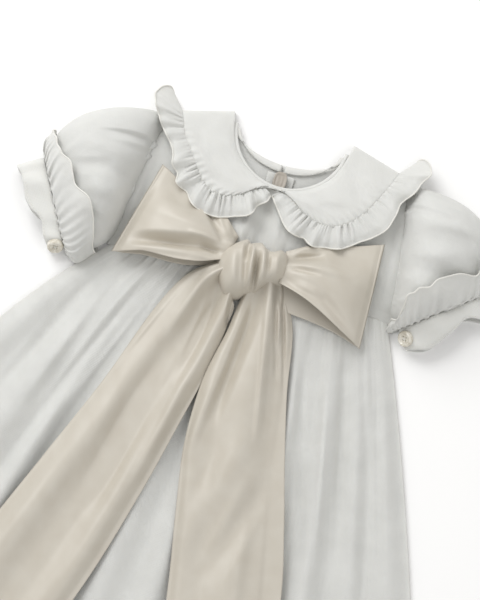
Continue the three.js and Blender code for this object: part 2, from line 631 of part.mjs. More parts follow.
// The neck's bias binding: a narrow rolled strip along the neck edge, inside the opening.
function bindingFront() {
  const place = (share, inward) => {
    const turn = share * (Math.PI / 2);
    const half = NECK_HALF - 2 * SEAM - inward * BINDING.width;
    const drop = FRONT_NECK_DROP - 2 * SEAM - inward * BINDING.width;
    const x = half * Math.sin(turn);
    const y = NECK_POINT_Y - drop * Math.cos(turn);
    const edge = bodiceFrontFace(share * NECK_SHARE, 1);
    return new THREE.Vector3(x, y, edge.z + BINDING.arch * Math.sin(Math.PI * inward));
  };
  const turns = NECK_TURNS.map((turn) => turn * BINDING.share);
  const face = gridOf(turns, steps(0, 1, 2), place);
  const under = face.map((column) => column.map((p) => p.clone().setZ(p.z - BINDING.height)));
  return closedWall(face, under, false);
}

function bindingBack(side) {
  const place = (turn, inward) => {
    const half = NECK_HALF - inward * BACK_BINDING.width;
    const x = side * half * Math.sin(turn);
    const y = NECK_POINT_Y - (BACK_NECK_DROP + inward * BACK_BINDING.width) * Math.cos(turn);
    const arch = BACK_BINDING.arch * Math.sin(Math.PI * inward);
    return new THREE.Vector3(x, y, UNDER_COLLAR + CLOTH + SEAM + arch);
  };
  const turns = steps(BACK_BINDING.from, BACK_BINDING.to, 6);
  const under = gridOf(turns, steps(0, 1, 2), place);
  const top = under.map((column) => column.map((p) => p.clone().setZ(p.z + CLOTH)));
  return closedWall(top, under, false);
}

// A bow loop: the sash runs out from the knot over the top, folds at its end and comes back
// underneath. run is 0 to 1 along that way, wide 0 to 1 from its lower edge to its upper one.
function loopFace(name) {
  const { knot, end, waist, underDrop } = LOOPS[name];
  const last = LOOP_HEIGHTS.length - 1;
  return (run, wide) => {
    const away = run < 0.5 ? 2 * run : 2 - 2 * run;
    const onTop = run <= 0.5;
    const reach = away ** 0.9;
    const pinch = Math.sin(Math.PI * Math.min(1, away * 1.4)) * (1 - away);
    const low = { x: mix(knot.lowX, end.lowX, reach), y: mix(knot.lowY, end.lowY, reach) };
    const high = { x: mix(knot.highX, end.highX, reach), y: mix(knot.highY, end.highY, reach) };
    low.y += waist.low * pinch - (onTop ? 0 : underDrop * bump(away - 0.12) * (1 - away));
    high.y += waist.high * pinch;
    const x = mix(low.x, high.x, wide);
    const y = mix(low.y, high.y, wide);
    const top = along(LOOP_HEIGHTS, away * last, "top");
    const under = along(LOOP_HEIGHTS, away * last, "under");
    const sunk = mix(top, LOOP_UPPER_EDGE_Z, ease((wide - 0.5) / 0.4));
    const pleat = LOOP_PLEAT_HEIGHT * (1 - away) ** 1.5 * Math.cos(2 * Math.PI * LOOP_PLEATS * wide);
    const crown = onTop ? sunk + pleat * ease(away / 0.15) : under;
    const fold = ease((away - 0.9) / 0.1);
    return new THREE.Vector3(x, y, mix(crown, mix(under + 1.3, sunk - 1.3, 0.5), fold));
  };
}

function bowLoop(name) {
  const outSteps = steps(0, 0.43, 8);
  const runs = [...outSteps, 0.475, 0.5, 0.525, ...outSteps.map((r) => 1 - r).reverse()];
  const wall = gridOf(runs, steps(0, 1, 8), loopFace(name));
  return closedWall(wall, offsetGrid(wall, CLOTH, false, underOf(wall, 4, 4)), false);
}

// The knot: the sash wrapped over itself, its hidden layers one rounded solid, with a deep pleat.
function knotPoint(angle, level) {
  const turns = ((angle * 180) / Math.PI + 360) % 360;
  const next = Math.max(1, KNOT_OUTLINE.findIndex((row) => row.angle >= turns));
  const [a, b] = [KNOT_OUTLINE[next - 1], KNOT_OUTLINE[next]];
  const reach = mix(a.reach, b.reach, ease((turns - a.angle) / (b.angle - a.angle)));
  const round = Math.sin(level) ** 0.62;
  const x = reach * round * Math.cos(angle);
  const y = reach * round * Math.sin(angle);
  const rise = -Math.cos(level);
  const pleat = KNOT.grooveDepth * bump((x - KNOT.grooveX - 0.12 * y) / KNOT.grooveReach);
  const top = KNOT.top - KNOT.middle - pleat;
  const z = KNOT.middle + rise * (rise > 0 ? top : KNOT.middle - KNOT.bottom);
  return new THREE.Vector3(x, y, z);
}

function bowKnot() {
  const around = 26;
  const levels = steps(0, Math.PI, 11).slice(1, -1);
  const positions = [0, 0, KNOT.bottom];
  for (const level of levels) {
    for (let k = 0; k < around; k++) {
      positions.push(...knotPoint((2 * Math.PI * k) / around, level).toArray());
    }
  }
  positions.push(...knotPoint(0, Math.PI - 1e-6).setX(0).toArray());
  const index = [];
  const at = (ring, k) => 1 + ring * around + (k % around);
  const crown = 1 + levels.length * around;
  for (let k = 0; k < around; k++) {
    index.push(0, at(0, k + 1), at(0, k));
    index.push(crown, at(levels.length - 1, k), at(levels.length - 1, k + 1));
    for (let ring = 0; ring < levels.length - 1; ring++) {
      index.push(at(ring, k), at(ring, k + 1), at(ring + 1, k + 1));
      index.push(at(ring, k), at(ring + 1, k + 1), at(ring + 1, k));
    }
  }
  return outward(positions, index);
}

// A tail lies on the tops of the skirt's folds: wide is 0 to 1 across it, down 0 to 1 along it.
function tailFace(name) {
  const sections = TAIL_SECTIONS[name];
  return (wide, down) => {
    const at = (column) => along(sections, down * (sections.length - 1), column);
    const x = mix(at("leftX"), at("rightX"), wide);
    const y = mix(at("leftY"), at("rightY"), wide);
    const onSkirt = clamp((WAIST_Y - y) / SKIRT_LENGTH);
    const bed = LOWEST_FRONT + BODICE_RISE * yokeShare(onSkirt) + FOLD_TOP * foldShare(onSkirt);
    const folds = TAIL_FOLDS[name].reduce((sum, fold) => {
      const middle = mix(fold.start, fold.end, down);
      const height = mix(fold.height, fold.left, ease(down / 0.5));
      return sum + height * bump((wide - middle) / fold.reach);
    }, 0);
    return new THREE.Vector3(x, y, bed + SEAM + CLOTH + folds + at("lift"));
  };
}

function bowTail(name) {
  const wall = gridOf(steps(0, 1, 9), steps(0, 1, 13), tailFace(name));
  return closedWall(wall, loweredGrid(wall, CLOTH), false);
}

// A dished button, turned about its own axis and set on the outside of the cuff's lap.
function buttonGeometry() {
  const { radius, height, rim, dish } = BUTTON;
  const profile = [
    [0, 0],
    [radius - rim, 0],
    [radius, rim],
    [radius, height - rim],
    [radius - rim, height],
    [dish + 0.6, height],
    [dish, height - 0.8],
    [0, height - 0.8],
  ];
  const lathe = new THREE.LatheGeometry(profile.map(([x, y]) => new THREE.Vector2(x, y)), 16);
  return lathe.rotateX(Math.PI / 2);
}

function placeButton(mesh, name) {
  const step = 0.02;
  const at = (turnOn, out) => {
    const p = cuffBandFace(name, turnOn, out);
    return p.setX(SIDES[name] * p.x);
  };
  const { place, across } = BUTTON;
  const middle = at(place, across);
  const round = at(place + step, across).sub(at(place - step, across));
  const outward = at(place, across + step).sub(at(place, across - step));
  const normal = round.cross(outward).normalize();
  if (normal.z < 0) normal.negate();
  mesh.quaternion.setFromUnitVectors(new THREE.Vector3(0, 0, 1), normal);
  mesh.position.copy(middle).addScaledVector(normal, SEAM + 0.1);
}

// The zip's tapes and coil, inside the back opening.
function zipChain() {
  const { tapeHalf, tapeHeight, coilHalf, coilHeight } = ZIP;
  const profile = [
    [-tapeHalf, 0],
    [tapeHalf, 0],
    [tapeHalf, tapeHeight],
    [coilHalf, tapeHeight],
    [coilHalf * 0.8, coilHeight],
    [-coilHalf * 0.8, coilHeight],
    [-coilHalf, tapeHeight],
    [-tapeHalf, tapeHeight],
  ];
  const stations = steps(ZIP.bottom, ZIP.top, 13);
  const positions = [];
  for (const y of stations) {
    for (const [x, z] of profile) positions.push(x, y, lay(0, y) + CLOTH + SEAM + z);
  }
  const count = profile.length;
  const index = [];
  for (let s = 0; s < stations.length - 1; s++) {
    for (let k = 0; k < count; k++) {
      const [a, b] = [s * count + k, s * count + ((k + 1) % count)];
      index.push(a, b, b + count, a, b + count, a + count);
    }
  }
  const outline = profile.map(([x, z]) => new THREE.Vector2(x, z));
  const end = (stations.length - 1) * count;
  for (const [a, b, c] of THREE.ShapeUtils.triangulateShape(outline, [])) {
    index.push(a, c, b, end + a, end + b, end + c);
  }
  return outward(positions, index);
}

function zipSlider() {
  const { length, topHalf, halfWidth, height } = SLIDER;
  const shape = new THREE.Shape();
  shape.moveTo(-topHalf, 0);
  shape.quadraticCurveTo(-halfWidth, -length * 0.35, -halfWidth, -length * 0.8);
  shape.lineTo(-halfWidth * 0.8, -length);
  shape.lineTo(halfWidth * 0.8, -length);
  shape.lineTo(halfWidth, -length * 0.8);
  shape.quadraticCurveTo(halfWidth, -length * 0.35, topHalf, 0);
  shape.closePath();
  const bevel = 0.5;
  const geometry = new THREE.ExtrudeGeometry(shape, {
    depth: height - 2 * bevel,
    bevelSize: bevel,
    bevelThickness: bevel,
    bevelSegments: 1,
    curveSegments: 4,
  });
  const base = UNDER_COLLAR + CLOTH + 2 * SEAM + ZIP.coilHeight + bevel;
  return geometry.translate(SLIDER.x, SLIDER.top, base);
}

const gown = new THREE.Group();

function add(name, geometry, finish) {
  const mesh = new THREE.Mesh(geometry, new THREE.MeshStandardMaterial(finish));
  mesh.name = name;
  gown.add(mesh);
  return mesh;
}

add("bodice_front", bodiceFront(), WHITE_VOILE);
add("skirt_front", skirtFront(), WHITE_VOILE);
add("neck_binding_front", bindingFront(), WHITE_VOILE);
for (const [name, side] of Object.entries(SIDES)) {
  add(`bodice_back_${name}`, bodiceBack(side), WHITE_VOILE);
  add(`skirt_back_${name}`, skirtBack(side), WHITE_VOILE);
  add(`sleeve_${name}`, sleeve(name), WHITE_VOILE);
  add(`cuff_frill_${name}`, cuffFrill(name), WHITE_VOILE);
  add(`cuff_band_${name}`, cuffBand(name), WHITE_VOILE);
  add(`collar_${name}`, collar(side), WHITE_VOILE);
  add(`collar_frill_${name}`, collarFrill(side), WHITE_VOILE);
  add(`neck_binding_back_${name}`, bindingBack(side), WHITE_VOILE);
  add(`bow_loop_${name}`, bowLoop(name), SATIN);
  add(`bow_tail_${name}`, bowTail(name), SATIN);
  placeButton(add(`cuff_button_${name}`, buttonGeometry(), PEARL), name);
}
add("bow_knot", bowKnot(), SATIN);
add("zip_chain", zipChain(), WHITE_VOILE);
add("zip_slider", zipSlider(), ZIP_METAL);

// The origin is on the surface, under the middle of the gown's outline.
const middle = new THREE.Box3().setFromObject(gown, true).getCenter(new THREE.Vector3());
gown.position.set(-middle.x, -middle.y, 0);

export default gown;
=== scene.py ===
import math

import bpy
import numpy as np
from mathutils import Matrix, Vector


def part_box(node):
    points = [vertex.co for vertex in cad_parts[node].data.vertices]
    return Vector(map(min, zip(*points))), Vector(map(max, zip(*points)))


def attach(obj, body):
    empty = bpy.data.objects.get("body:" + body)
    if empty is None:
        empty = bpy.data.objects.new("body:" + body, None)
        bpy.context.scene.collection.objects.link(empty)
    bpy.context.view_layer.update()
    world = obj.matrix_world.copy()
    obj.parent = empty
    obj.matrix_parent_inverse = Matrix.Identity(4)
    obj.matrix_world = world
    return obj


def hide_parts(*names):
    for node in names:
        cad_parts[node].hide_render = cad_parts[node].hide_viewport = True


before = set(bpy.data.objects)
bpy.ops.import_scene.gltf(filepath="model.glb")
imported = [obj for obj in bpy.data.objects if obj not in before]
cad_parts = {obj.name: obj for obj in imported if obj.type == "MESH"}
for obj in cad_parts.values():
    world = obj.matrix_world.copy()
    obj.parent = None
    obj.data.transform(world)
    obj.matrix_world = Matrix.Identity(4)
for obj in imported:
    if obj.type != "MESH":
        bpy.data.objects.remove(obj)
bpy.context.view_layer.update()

# The back of the skirt: two panels of white cotton voile, sewn together down the middle below the
# zip and gathered on to the yoke. It takes the gown's weight on the surface, so it lies flat, with
# its gathers pressed into it from below.
MM = 0.001
SEAM = 0.3
WAIST_Y = -6
WAIST_HALF = 102
SKIRT_LENGTH = 530
SKIRT_DRIFT = -15
WALK_STEPS = 60
FLARES = {-1: {"hem": 9, "extra": 38, "fade": 2.4}, 1: {"hem": 9, "extra": 13, "fade": 1}}
SIDES = {"left": -1, "right": 1}
# Each press and crease in this file is a row of from_x, from_y, to_x, to_y, reach, other and height.
BACK_PRESSES = (
    (-150, -60, -225, -420, 9, 14, 0.9),
    (-90, -90, -150, -500, 8, 12, 0.8),
    (-30, -140, -60, -480, 10, 7, 0.9),
    (35, -60, 60, -400, 7, 12, 0.8),
    (90, -120, 150, -510, 11, 8, 0.9),
    (130, -60, 200, -430, 8, 12, 0.8),
)

# All lengths are millimetres from the middle of the waist seam, and this is its place in metres.
yoke_low, yoke_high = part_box("bodice_front")
PLACE = np.array([(yoke_low[0] + yoke_high[0]) / 2, yoke_low[1] - WAIST_Y * MM, 0.0])


def mix(a, b, share):
    """The value that share of the way from a to b."""
    return a + (b - a) * share


def ease(x):
    """0 below 0, 1 above 1, and 3x squared less 2x cubed between."""
    x = np.clip(x, 0, 1)
    return x * x * (3 - 2 * x)


def bump(x):
    """A cosine squared hump, 1 at 0 and 0 from 1 on either side."""
    return np.where(np.abs(x) < 1, np.cos(np.pi / 2 * np.clip(x, -1, 1)) ** 2, 0)


def grid(first, second):
    """The first values spread over the rows of a grid, and the second over its columns."""
    return np.meshgrid(first, second, indexing="ij")


def creases(x, y, rows):
    """Soft troughs and ridges laid on the plan, each along its own line from one place to another.
    Across the line it is a cosine hump, of one reach on one side and another on the other, and along
    it grows and fades as a cosine hump to the power of a half."""
    total = np.zeros(np.broadcast(x, y).shape)
    for from_x, from_y, to_x, to_y, reach, other, height in rows:
        dx, dy = to_x - from_x, to_y - from_y
        length = math.hypot(dx, dy)
        there = ((x - from_x) * dx + (y - from_y) * dy) / length**2
        off = ((x - from_x) * dy - (y - from_y) * dx) / length
        wide = np.where(off > 0, off / reach, off / other)
        total = total + height * np.sqrt(bump(2 * there - 1)) * bump(wide)
    return total


def add_object(name, data):
    """Puts a mesh, a lamp or a camera into the scene as an object."""
    added = bpy.data.objects.new(name, data)
    bpy.context.scene.collection.objects.link(added)
    return added


def new_piece(name, points, faces):
    """A smooth mesh through points in millimetres from the middle of the waist seam."""
    mesh = bpy.data.meshes.new(name)
    mesh.from_pydata(points.reshape(-1, 3) * MM + PLACE, [], faces)
    mesh.shade_smooth()
    return add_object(name, mesh)


def dress(piece, material, node=None):
    """Gives a piece its material and its slot, and hides the solid of the frame that it stands for."""
    piece.data.materials.append(material)
    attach(piece, "root")
    if node:
        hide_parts(node)
    return piece


def thin_shell(node, stuff, points, material, wall, ring=False, top=None,
        faces="up"):
    """A solid's place taken by a thin shell of some stuff: a grid of quads through points[i, j]. Its
    UV map is the length of the cloth itself, in millimetres, across from the middle column and
    along from the first row. Its face looks the way that faces says at the grid place top, and its
    wall's thickness lies behind."""
    columns, rows = points.shape[:2]
    i, j = grid(np.arange(columns if ring else columns - 1), np.arange(rows - 1))
    after = (i + 1) % columns
    quads = np.stack([i * rows + j, after * rows + j, after * rows + j + 1, i * rows + j + 1], -1)
    ti, tj = top or (columns // 2, rows // 2)
    across = points[min(ti + 1, columns - 1), tj] - points[ti - 1, tj]
    lengthwise = points[ti, min(tj + 1, rows - 1)] - points[ti, tj - 1]
    if (np.cross(across, lengthwise)[2] > 0) != (faces == "up"):
        quads = quads[..., ::-1]
    quads = quads.reshape(-1, 4)
    piece = new_piece(f"{node}_{stuff}", points, quads)
    u = np.cumsum(np.linalg.norm(np.diff(points, axis=0, prepend=points[:1]), axis=2), axis=0)
    v = np.cumsum(np.linalg.norm(np.diff(points, axis=1, prepend=points[:, :1]), axis=2), axis=1)
    uv = np.stack([u - u[columns // 2], v], -1).reshape(-1, 2)
    layer = piece.data.uv_layers.new(name="cloth")
    layer.data.foreach_set("uv", uv[quads.ravel()].astype(np.float32).ravel())
    solidify = piece.modifiers.new("wall", "SOLIDIFY")
    solidify.thickness = wall * MM
    solidify.offset = -1
    return dress(piece, material, node)


def linear(code):
    """An sRGB hex colour as the linear colour that a shader takes."""
    parts = [int(code[k : k + 2], 16) / 255 for k in (1, 3, 5)]
    return [c / 12.92 if c <= 0.04045 else ((c + 0.055) / 1.055) ** 2.4 for c in parts] + [1.0]


def add_node(material, kind, values={}, links={}, feeds={}, **settings):
    """Adds a node with its settings, the values of its sockets, links to its inputs from (node,
    output), and links that feed its outputs to (node, input)."""
    link = material.node_tree.links.new
    made = material.node_tree.nodes.new(kind)
    for key, value in settings.items():
        setattr(made, key, value)
    for socket, value in values.items():
        made.inputs[socket].default_value = value
    for socket, (source, output) in links.items():
        link(source.outputs[output], made.inputs[socket])
    for output, (target, socket) in feeds.items():
        link(made.outputs[output], target.inputs[socket])
    return made


def new_material(name, shader_values):
    """A new material with the values of its shader set. Gives the material, its shader and its
    texture coordinates."""
    material = bpy.data.materials.new(name)
    material.use_nodes = True
    shader = material.node_tree.nodes["Principled BSDF"]
    for socket, value in shader_values.items():
        shader.inputs[socket].default_value = value
    return material, shader, add_node(material, "ShaderNodeTexCoord")


def wave_scale(spacing):
    """The Wave texture's scale for bands this far apart: its period is a tenth of pi over scale."""
    return math.pi / 10 / spacing


VOILE = {"thread": 1.1, "slub": 2.6, "crinkle": 19, "glow": 3.5}


def cotton_voile(name, pale, deep, crinkle):
    """Cotton voile: fine combed yarn in an open plain weave, washed soft. The eye sees a matt milky
    white with a faint nap, a slight crinkle, and light that sinks a little way into the folds. Its
    threads are 0.3 mm apart; they are drawn 1.1 mm apart so that they show."""
    material, shader, place = new_material(name, {"Roughness": 0.95, "Sheen Weight": 0.12,
        "Sheen Roughness": 0.6, "Specular IOR Level": 0.1, "Subsurface Weight": 0.3,
        "Subsurface Radius": (1.0, 0.95, 0.88), "Subsurface Scale": VOILE["glow"] * MM})
    on_cloth = {"Vector": (place, "UV")}
    yarn = {"Scale": wave_scale(VOILE["thread"]), "Distortion": 0.6, "Detail": 1.0}
    warp, weft = (add_node(material, "ShaderNodeTexWave", yarn, on_cloth, bands_direction=way)
        for way in "XY")
    woven = add_node(material, "ShaderNodeMath", {}, {0: (warp, "Fac"), 1: (weft, "Fac")},
        operation="ADD")
    slub = add_node(material, "ShaderNodeTexNoise", {"Scale": 1 / VOILE["slub"], "Detail": 4.0}, on_cloth)
    soft = add_node(material, "ShaderNodeTexNoise", {"Scale": 1 / VOILE["crinkle"], "Detail": 3.0,
        "Roughness": 0.45}, on_cloth)
    ramp = add_node(material, "ShaderNodeValToRGB", {}, {"Fac": (soft, "Fac")},
        {"Color": (shader, "Base Color")})
    for stop, position, tone in zip(ramp.color_ramp.elements, (0.35, 0.65), (deep, pale)):
        stop.position = position
        stop.color = linear(tone)
    fine = add_node(material, "ShaderNodeBump", {"Strength": 0.3, "Distance": 0.12 * MM},
        {"Height": (woven, "Value")})
    grain = add_node(material, "ShaderNodeBump", {"Strength": 0.35, "Distance": 0.3 * MM},
        {"Height": (slub, "Fac"), "Normal": (fine, "Normal")})
    add_node(material, "ShaderNodeBump", {"Strength": crinkle, "Distance": 3.0 * MM},
        {"Height": (soft, "Fac"), "Normal": (grain, "Normal")}, {"Normal": (shader, "Normal")})
    return material


voile = cotton_voile("white cotton voile", "#DEDEDA", "#D8D8D4", 0.25)


def side_seam(side):
    """A side seam of the skirt, walked down from the yoke in equal strides that lean out less and
    less: the lean is the hem's, plus an extra that fades as a power of the share left to go."""
    hem, extra, fade = FLARES[side].values()
    left = 1 - (np.arange(WALK_STEPS) + 0.5) / WALK_STEPS
    lean = np.radians(hem + extra * left**fade)
    stride = SKIRT_LENGTH / WALK_STEPS
    x = side * (WAIST_HALF + np.concatenate([[0], np.cumsum(stride * np.sin(lean))]))
    y = WAIST_Y - SEAM - np.concatenate([[0], np.cumsum(stride * np.cos(lean))])
    return x, y


SIDE_SEAMS = {side: side_seam(side) for side in (-1, 1)}


def skirt_plan(across, down):
    """The skirt's outline: straight from its middle line to its side seam, and level there only at
    the middle, as the hem's curve is: x goes with across, y with its square."""
    walked = down * WALK_STEPS
    rows = np.arange(WALK_STEPS + 1)
    side_x, side_y = (
        np.where(across < 0, np.interp(walked, rows, left), np.interp(walked, rows, right))
        for left, right in zip(SIDE_SEAMS[-1], SIDE_SEAMS[1])
    )
    middle_y = WAIST_Y - SEAM - SKIRT_LENGTH * down
    x = mix(SKIRT_DRIFT * down**2, side_x, np.abs(across))
    return x, mix(middle_y, side_y, across**2)


def gathers(across, distance, count, reach):
    """Small uneven gathers hanging from a seam: sines of two near counts beat together, and each
    dies away down the cloth, some sooner than others. 0 in the troughs, about 1 on the ridges."""
    angle = np.pi * count * across
    waves = 0.5 + 0.3 * np.sin(angle + 1.7 * np.sin(3.1 * across)) + 0.2 * np.sin(1.37 * angle + 0.9)
    length = reach * (1 + 0.6 * np.sin(7.3 * across + 1) * np.sin(17.9 * across))
    return waves * np.exp(-distance / length)


def skirt_back(side):
    """Half of the back skirt: flat on the surface, with gathers below the yoke and long soft
    presses. None of them rises more than 1.1 mm off the surface."""
    half, down = grid(np.linspace(1e-3, 1, 80), np.linspace(0, 1, 90) ** 1.25)
    x, y = skirt_plan(side * half, down)
    x = x + side * (SEAM / 2) * (1 - half)
    pressed = 0.9 * gathers(half + side, SKIRT_LENGTH * down, count=17, reach=60)
    pressed = pressed + creases(x, y, BACK_PRESSES) * ease((1 - half) / 0.1)
    return np.stack([x, y, np.clip(pressed, 0, 1.1)], -1)


for word, side in SIDES.items():
    panel = thin_shell(f"skirt_back_{word}", "cloth", skirt_back(side), voile, wall=0.7, faces="down")

# The back of the yoke: two plain pieces of the same voile, either side of the zip. They are sewn to
# the front at the shoulders and the sides, and to the back skirt's gathers at the waist.
UNDER_COLLAR = {"lift": 1.5, "from_y": 12, "slope": 16, "to_x": 100, "edge": 8}
NECK_HALF = 44
NECK_POINT_Y = 109
FRONT_NECK_DROP = 47
BACK_NECK_DROP = 25
NECK_SHARE = 0.46
SHOULDER_HALF = 91
SHOULDER_TIP_Y = 94


def lay(x, y):
    """How far the back yoke stands off the surface, on the collar's hidden half."""
    up = ease((y - UNDER_COLLAR["from_y"]) / UNDER_COLLAR["slope"])
    return UNDER_COLLAR["lift"] * up * ease((UNDER_COLLAR["to_x"] - np.abs(x)) / UNDER_COLLAR["edge"])


def bodice_plan(across, up, neck_drop):
    """The yoke's outline: straight lines up from the waist seam to a top edge that is a quarter
    ellipse round the neck and a straight shoulder past it. Also gives the neck's share there."""
    half = np.abs(across)
    turn = half / NECK_SHARE * (np.pi / 2)
    past = (half - NECK_SHARE) / (1 - NECK_SHARE)
    in_neck = half < NECK_SHARE
    top_x = np.where(in_neck, NECK_HALF * np.sin(turn), mix(NECK_HALF, SHOULDER_HALF, past))
    top_y = np.where(in_neck, NECK_POINT_Y - neck_drop * np.cos(turn),
        mix(NECK_POINT_Y, SHOULDER_TIP_Y, past))
    x = mix(half * WAIST_HALF, top_x, up) * np.sign(across)
    return x, mix(WAIST_Y, top_y, up), np.where(in_neck, np.cos(turn), 0)


for word, side in SIDES.items():
    half, up = grid(np.linspace(0, 1, 50), np.linspace(0, 1, 40))
    x, y, _ = bodice_plan(half, up, BACK_NECK_DROP)
    x = x + SEAM / 2
    wave = 0.5 * gathers(half, y - WAIST_Y, count=13, reach=22)
    points = np.stack([side * x, y, lay(x, y) + wave], -1)
    panel = thin_shell(f"bodice_back_{word}", "cloth", points, voile, wall=0.7, faces="down")

# The back neck binding: a straight strip of voile that turns in the raw neck edge and the tops of
# the zip's tapes, held down by one row of stitches along its lower edge.
CLOTH = 1.2
BACK_BINDING = {"width": 5.5, "start": 0.02, "end": 0.83, "lift": 1.2, "roll": 0.5, "ripple": 0.12}
STITCH = {"length": 1.7, "pitch": 2.4, "radius": 0.22, "lift": 0.6, "sides": 6}


def unit(vectors):
    """Vectors over their own lengths."""
    return vectors / np.maximum(np.linalg.norm(vectors, axis=-1, keepdims=True), 1e-9)


def sewing(name, path):
    """A row of machine stitches along a path: short rods with pointed ends, each a six-sided
    double cone drawn out along the path, lying on the cloth."""
    walked = np.concatenate([[0], np.cumsum(np.linalg.norm(np.diff(path, axis=0), axis=1))])
    places = np.arange(STITCH["pitch"] / 2, walked[-1], STITCH["pitch"])
    at, next_to = (np.stack([np.interp(p, walked, path[:, k]) for k in range(3)], -1)
        for p in (places, places + 0.5))
    ahead = unit(next_to - at)
    up = np.array([0, 0, 1.0])
    sides = STITCH["sides"]
    turn = np.linspace(0, 2 * np.pi, sides + 1)[:-1, None, None]
    ring = (np.cos(turn) * np.cross(ahead, up) + np.sin(turn) * up) * STITCH["radius"]
    ends = ahead * (STITCH["length"] / 2)
    lifted = at + up * STITCH["radius"] * STITCH["lift"]
    verts = np.concatenate([(lifted - ends)[None], lifted + ring, (lifted + ends)[None]])
    side = np.arange(sides)
    after = (side + 1) % sides
    cone = np.concatenate([np.stack([0 * side, 1 + after, 1 + side], -1),
        np.stack([0 * side + sides + 1, 1 + side, 1 + after], -1)])
    faces = (cone[None] + (sides + 2) * np.arange(len(at))[:, None, None]).reshape(-1, 3)
    return dress(new_piece(name, verts.transpose(1, 0, 2), faces), white_thread)


def spun_thread(name, colour):
    """Sewing thread: spun polyester, two plies that turn in 0.7 mm, a little glossier than the cloth
    it holds."""
    material, shader, place = new_material(name, {"Base Color": linear(colour), "Roughness": 0.6,
        "Sheen Weight": 0.2})
    ply = add_node(material, "ShaderNodeTexNoise", {"Scale": 1500.0, "Detail": 2.0},
        {"Vector": (place, "Object")})
    add_node(material, "ShaderNodeBump", {"Strength": 0.4, "Distance": 0.1 * MM},
        {"Height": (ply, "Fac")}, {"Normal": (shader, "Normal")})
    return material


# Where the voile is doubled, less light comes through: it looks whiter, and it crinkles less.
crisp_voile = cotton_voile("white cotton voile, doubled", "#E1E1DD", "#DCDCD8", 0.15)
white_thread = spun_thread("white polyester thread", "#E6E5DF")


def neck_line(turn, inward, drop):
    """A line round the neck, inward from its edge: a half ellipse, turn in right angles."""
    angle = turn * np.pi / 2
    return (NECK_HALF - inward) * np.sin(angle), NECK_POINT_Y - (drop - inward) * np.cos(angle)


for word, side in SIDES.items():
    turn, wide = grid(np.linspace(BACK_BINDING["start"], BACK_BINDING["end"], 50), np.linspace(0, 1, 9))
    width = wide * BACK_BINDING["width"]
    x, _ = neck_line(turn, width * np.sin(turn * np.pi / 2), BACK_NECK_DROP)
    _, y = neck_line(turn, 0, BACK_NECK_DROP + width)
    level = UNDER_COLLAR["lift"] + CLOTH + SEAM + BACK_BINDING["lift"]
    z = level + BACK_BINDING["roll"] * np.sin(np.pi * wide)
    z = z + BACK_BINDING["ripple"] * np.sin(40 * turn) * wide
    points = np.stack([side * x, y, z], -1)
    strip = thin_shell(f"neck_binding_back_{word}", "cloth", points, crisp_voile, wall=0.9)
    sewing(f"neck_binding_back_{word}_stitches", points[:, 7])

# The zip: a fine nylon coil on white woven tapes, sewn behind the back opening so that only its
# inside shows. The slider is a die-cast body, painted a warm grey; its tab is on the outside.
ZIP = {"tape": 10, "top": 77, "bottom": -104, "lift": 0.75}
COIL = {"half": 2.6, "edge": 0.6, "rise": 0.75, "tooth": 1.2, "slant": 0.35, "loop": 0.45, "groove": 0.7}
across, down = grid(np.linspace(-1, 1, 25), np.linspace(0, 1, 500))
x = across * ZIP["tape"]
y = mix(ZIP["top"], ZIP["bottom"], down)
in_coil = ease((COIL["half"] - np.abs(x)) / COIL["edge"])
loops_of_coil = 0.5 + 0.5 * np.cos(2 * np.pi * (y + COIL["slant"] * x) / COIL["tooth"])
groove = bump(x / COIL["groove"])
coil_rise = COIL["rise"] + COIL["loop"] * loops_of_coil - COIL["groove"] * groove
z = lay(0, y) + CLOTH + SEAM + ZIP["lift"] + in_coil * coil_rise
chain = thin_shell("zip_chain", "coil", np.stack([x, y, z], -1), crisp_voile, wall=0.7)


def painted_metal(name, pale, deep):
    """Die-cast zinc under thin paint: smooth, with a low satin gloss and a slightly cloudy tone, in
    clouds of 2.4 mm."""
    material, shader, place = new_material(name, {"Roughness": 0.42, "Coat Weight": 0.15,
        "Coat Roughness": 0.3})
    cloud = add_node(material, "ShaderNodeTexNoise", {"Scale": 420.0, "Detail": 3.0},
        {"Vector": (place, "Object")})
    ramp = add_node(material, "ShaderNodeValToRGB", {}, {"Fac": (cloud, "Fac")},
        {"Color": (shader, "Base Color")})
    for stop, tone in zip(ramp.color_ramp.elements, (deep, pale)):
        stop.color = linear(tone)
    add_node(material, "ShaderNodeBump", {"Strength": 0.15, "Distance": 0.1 * MM},
        {"Height": (cloud, "Fac")}, {"Normal": (shader, "Normal")})
    return material


slider_paint = painted_metal("warm grey painted zinc", "#B9B2A8", "#A69E93")


def disc(count):
    """A grid over a unit disc with no pole: a square whose rows are bent round, x as a times the
    root of 1 less half b squared, and y the same with a and b exchanged. Gives x, y, the distance
    out and the angle."""
    a, b = grid(*[np.linspace(-1, 1, count)] * 2)
    x, y = a * np.sqrt(1 - b * b / 2), b * np.sqrt(1 - a * a / 2)
    return x, y, np.hypot(x, y), np.arctan2(y, x)


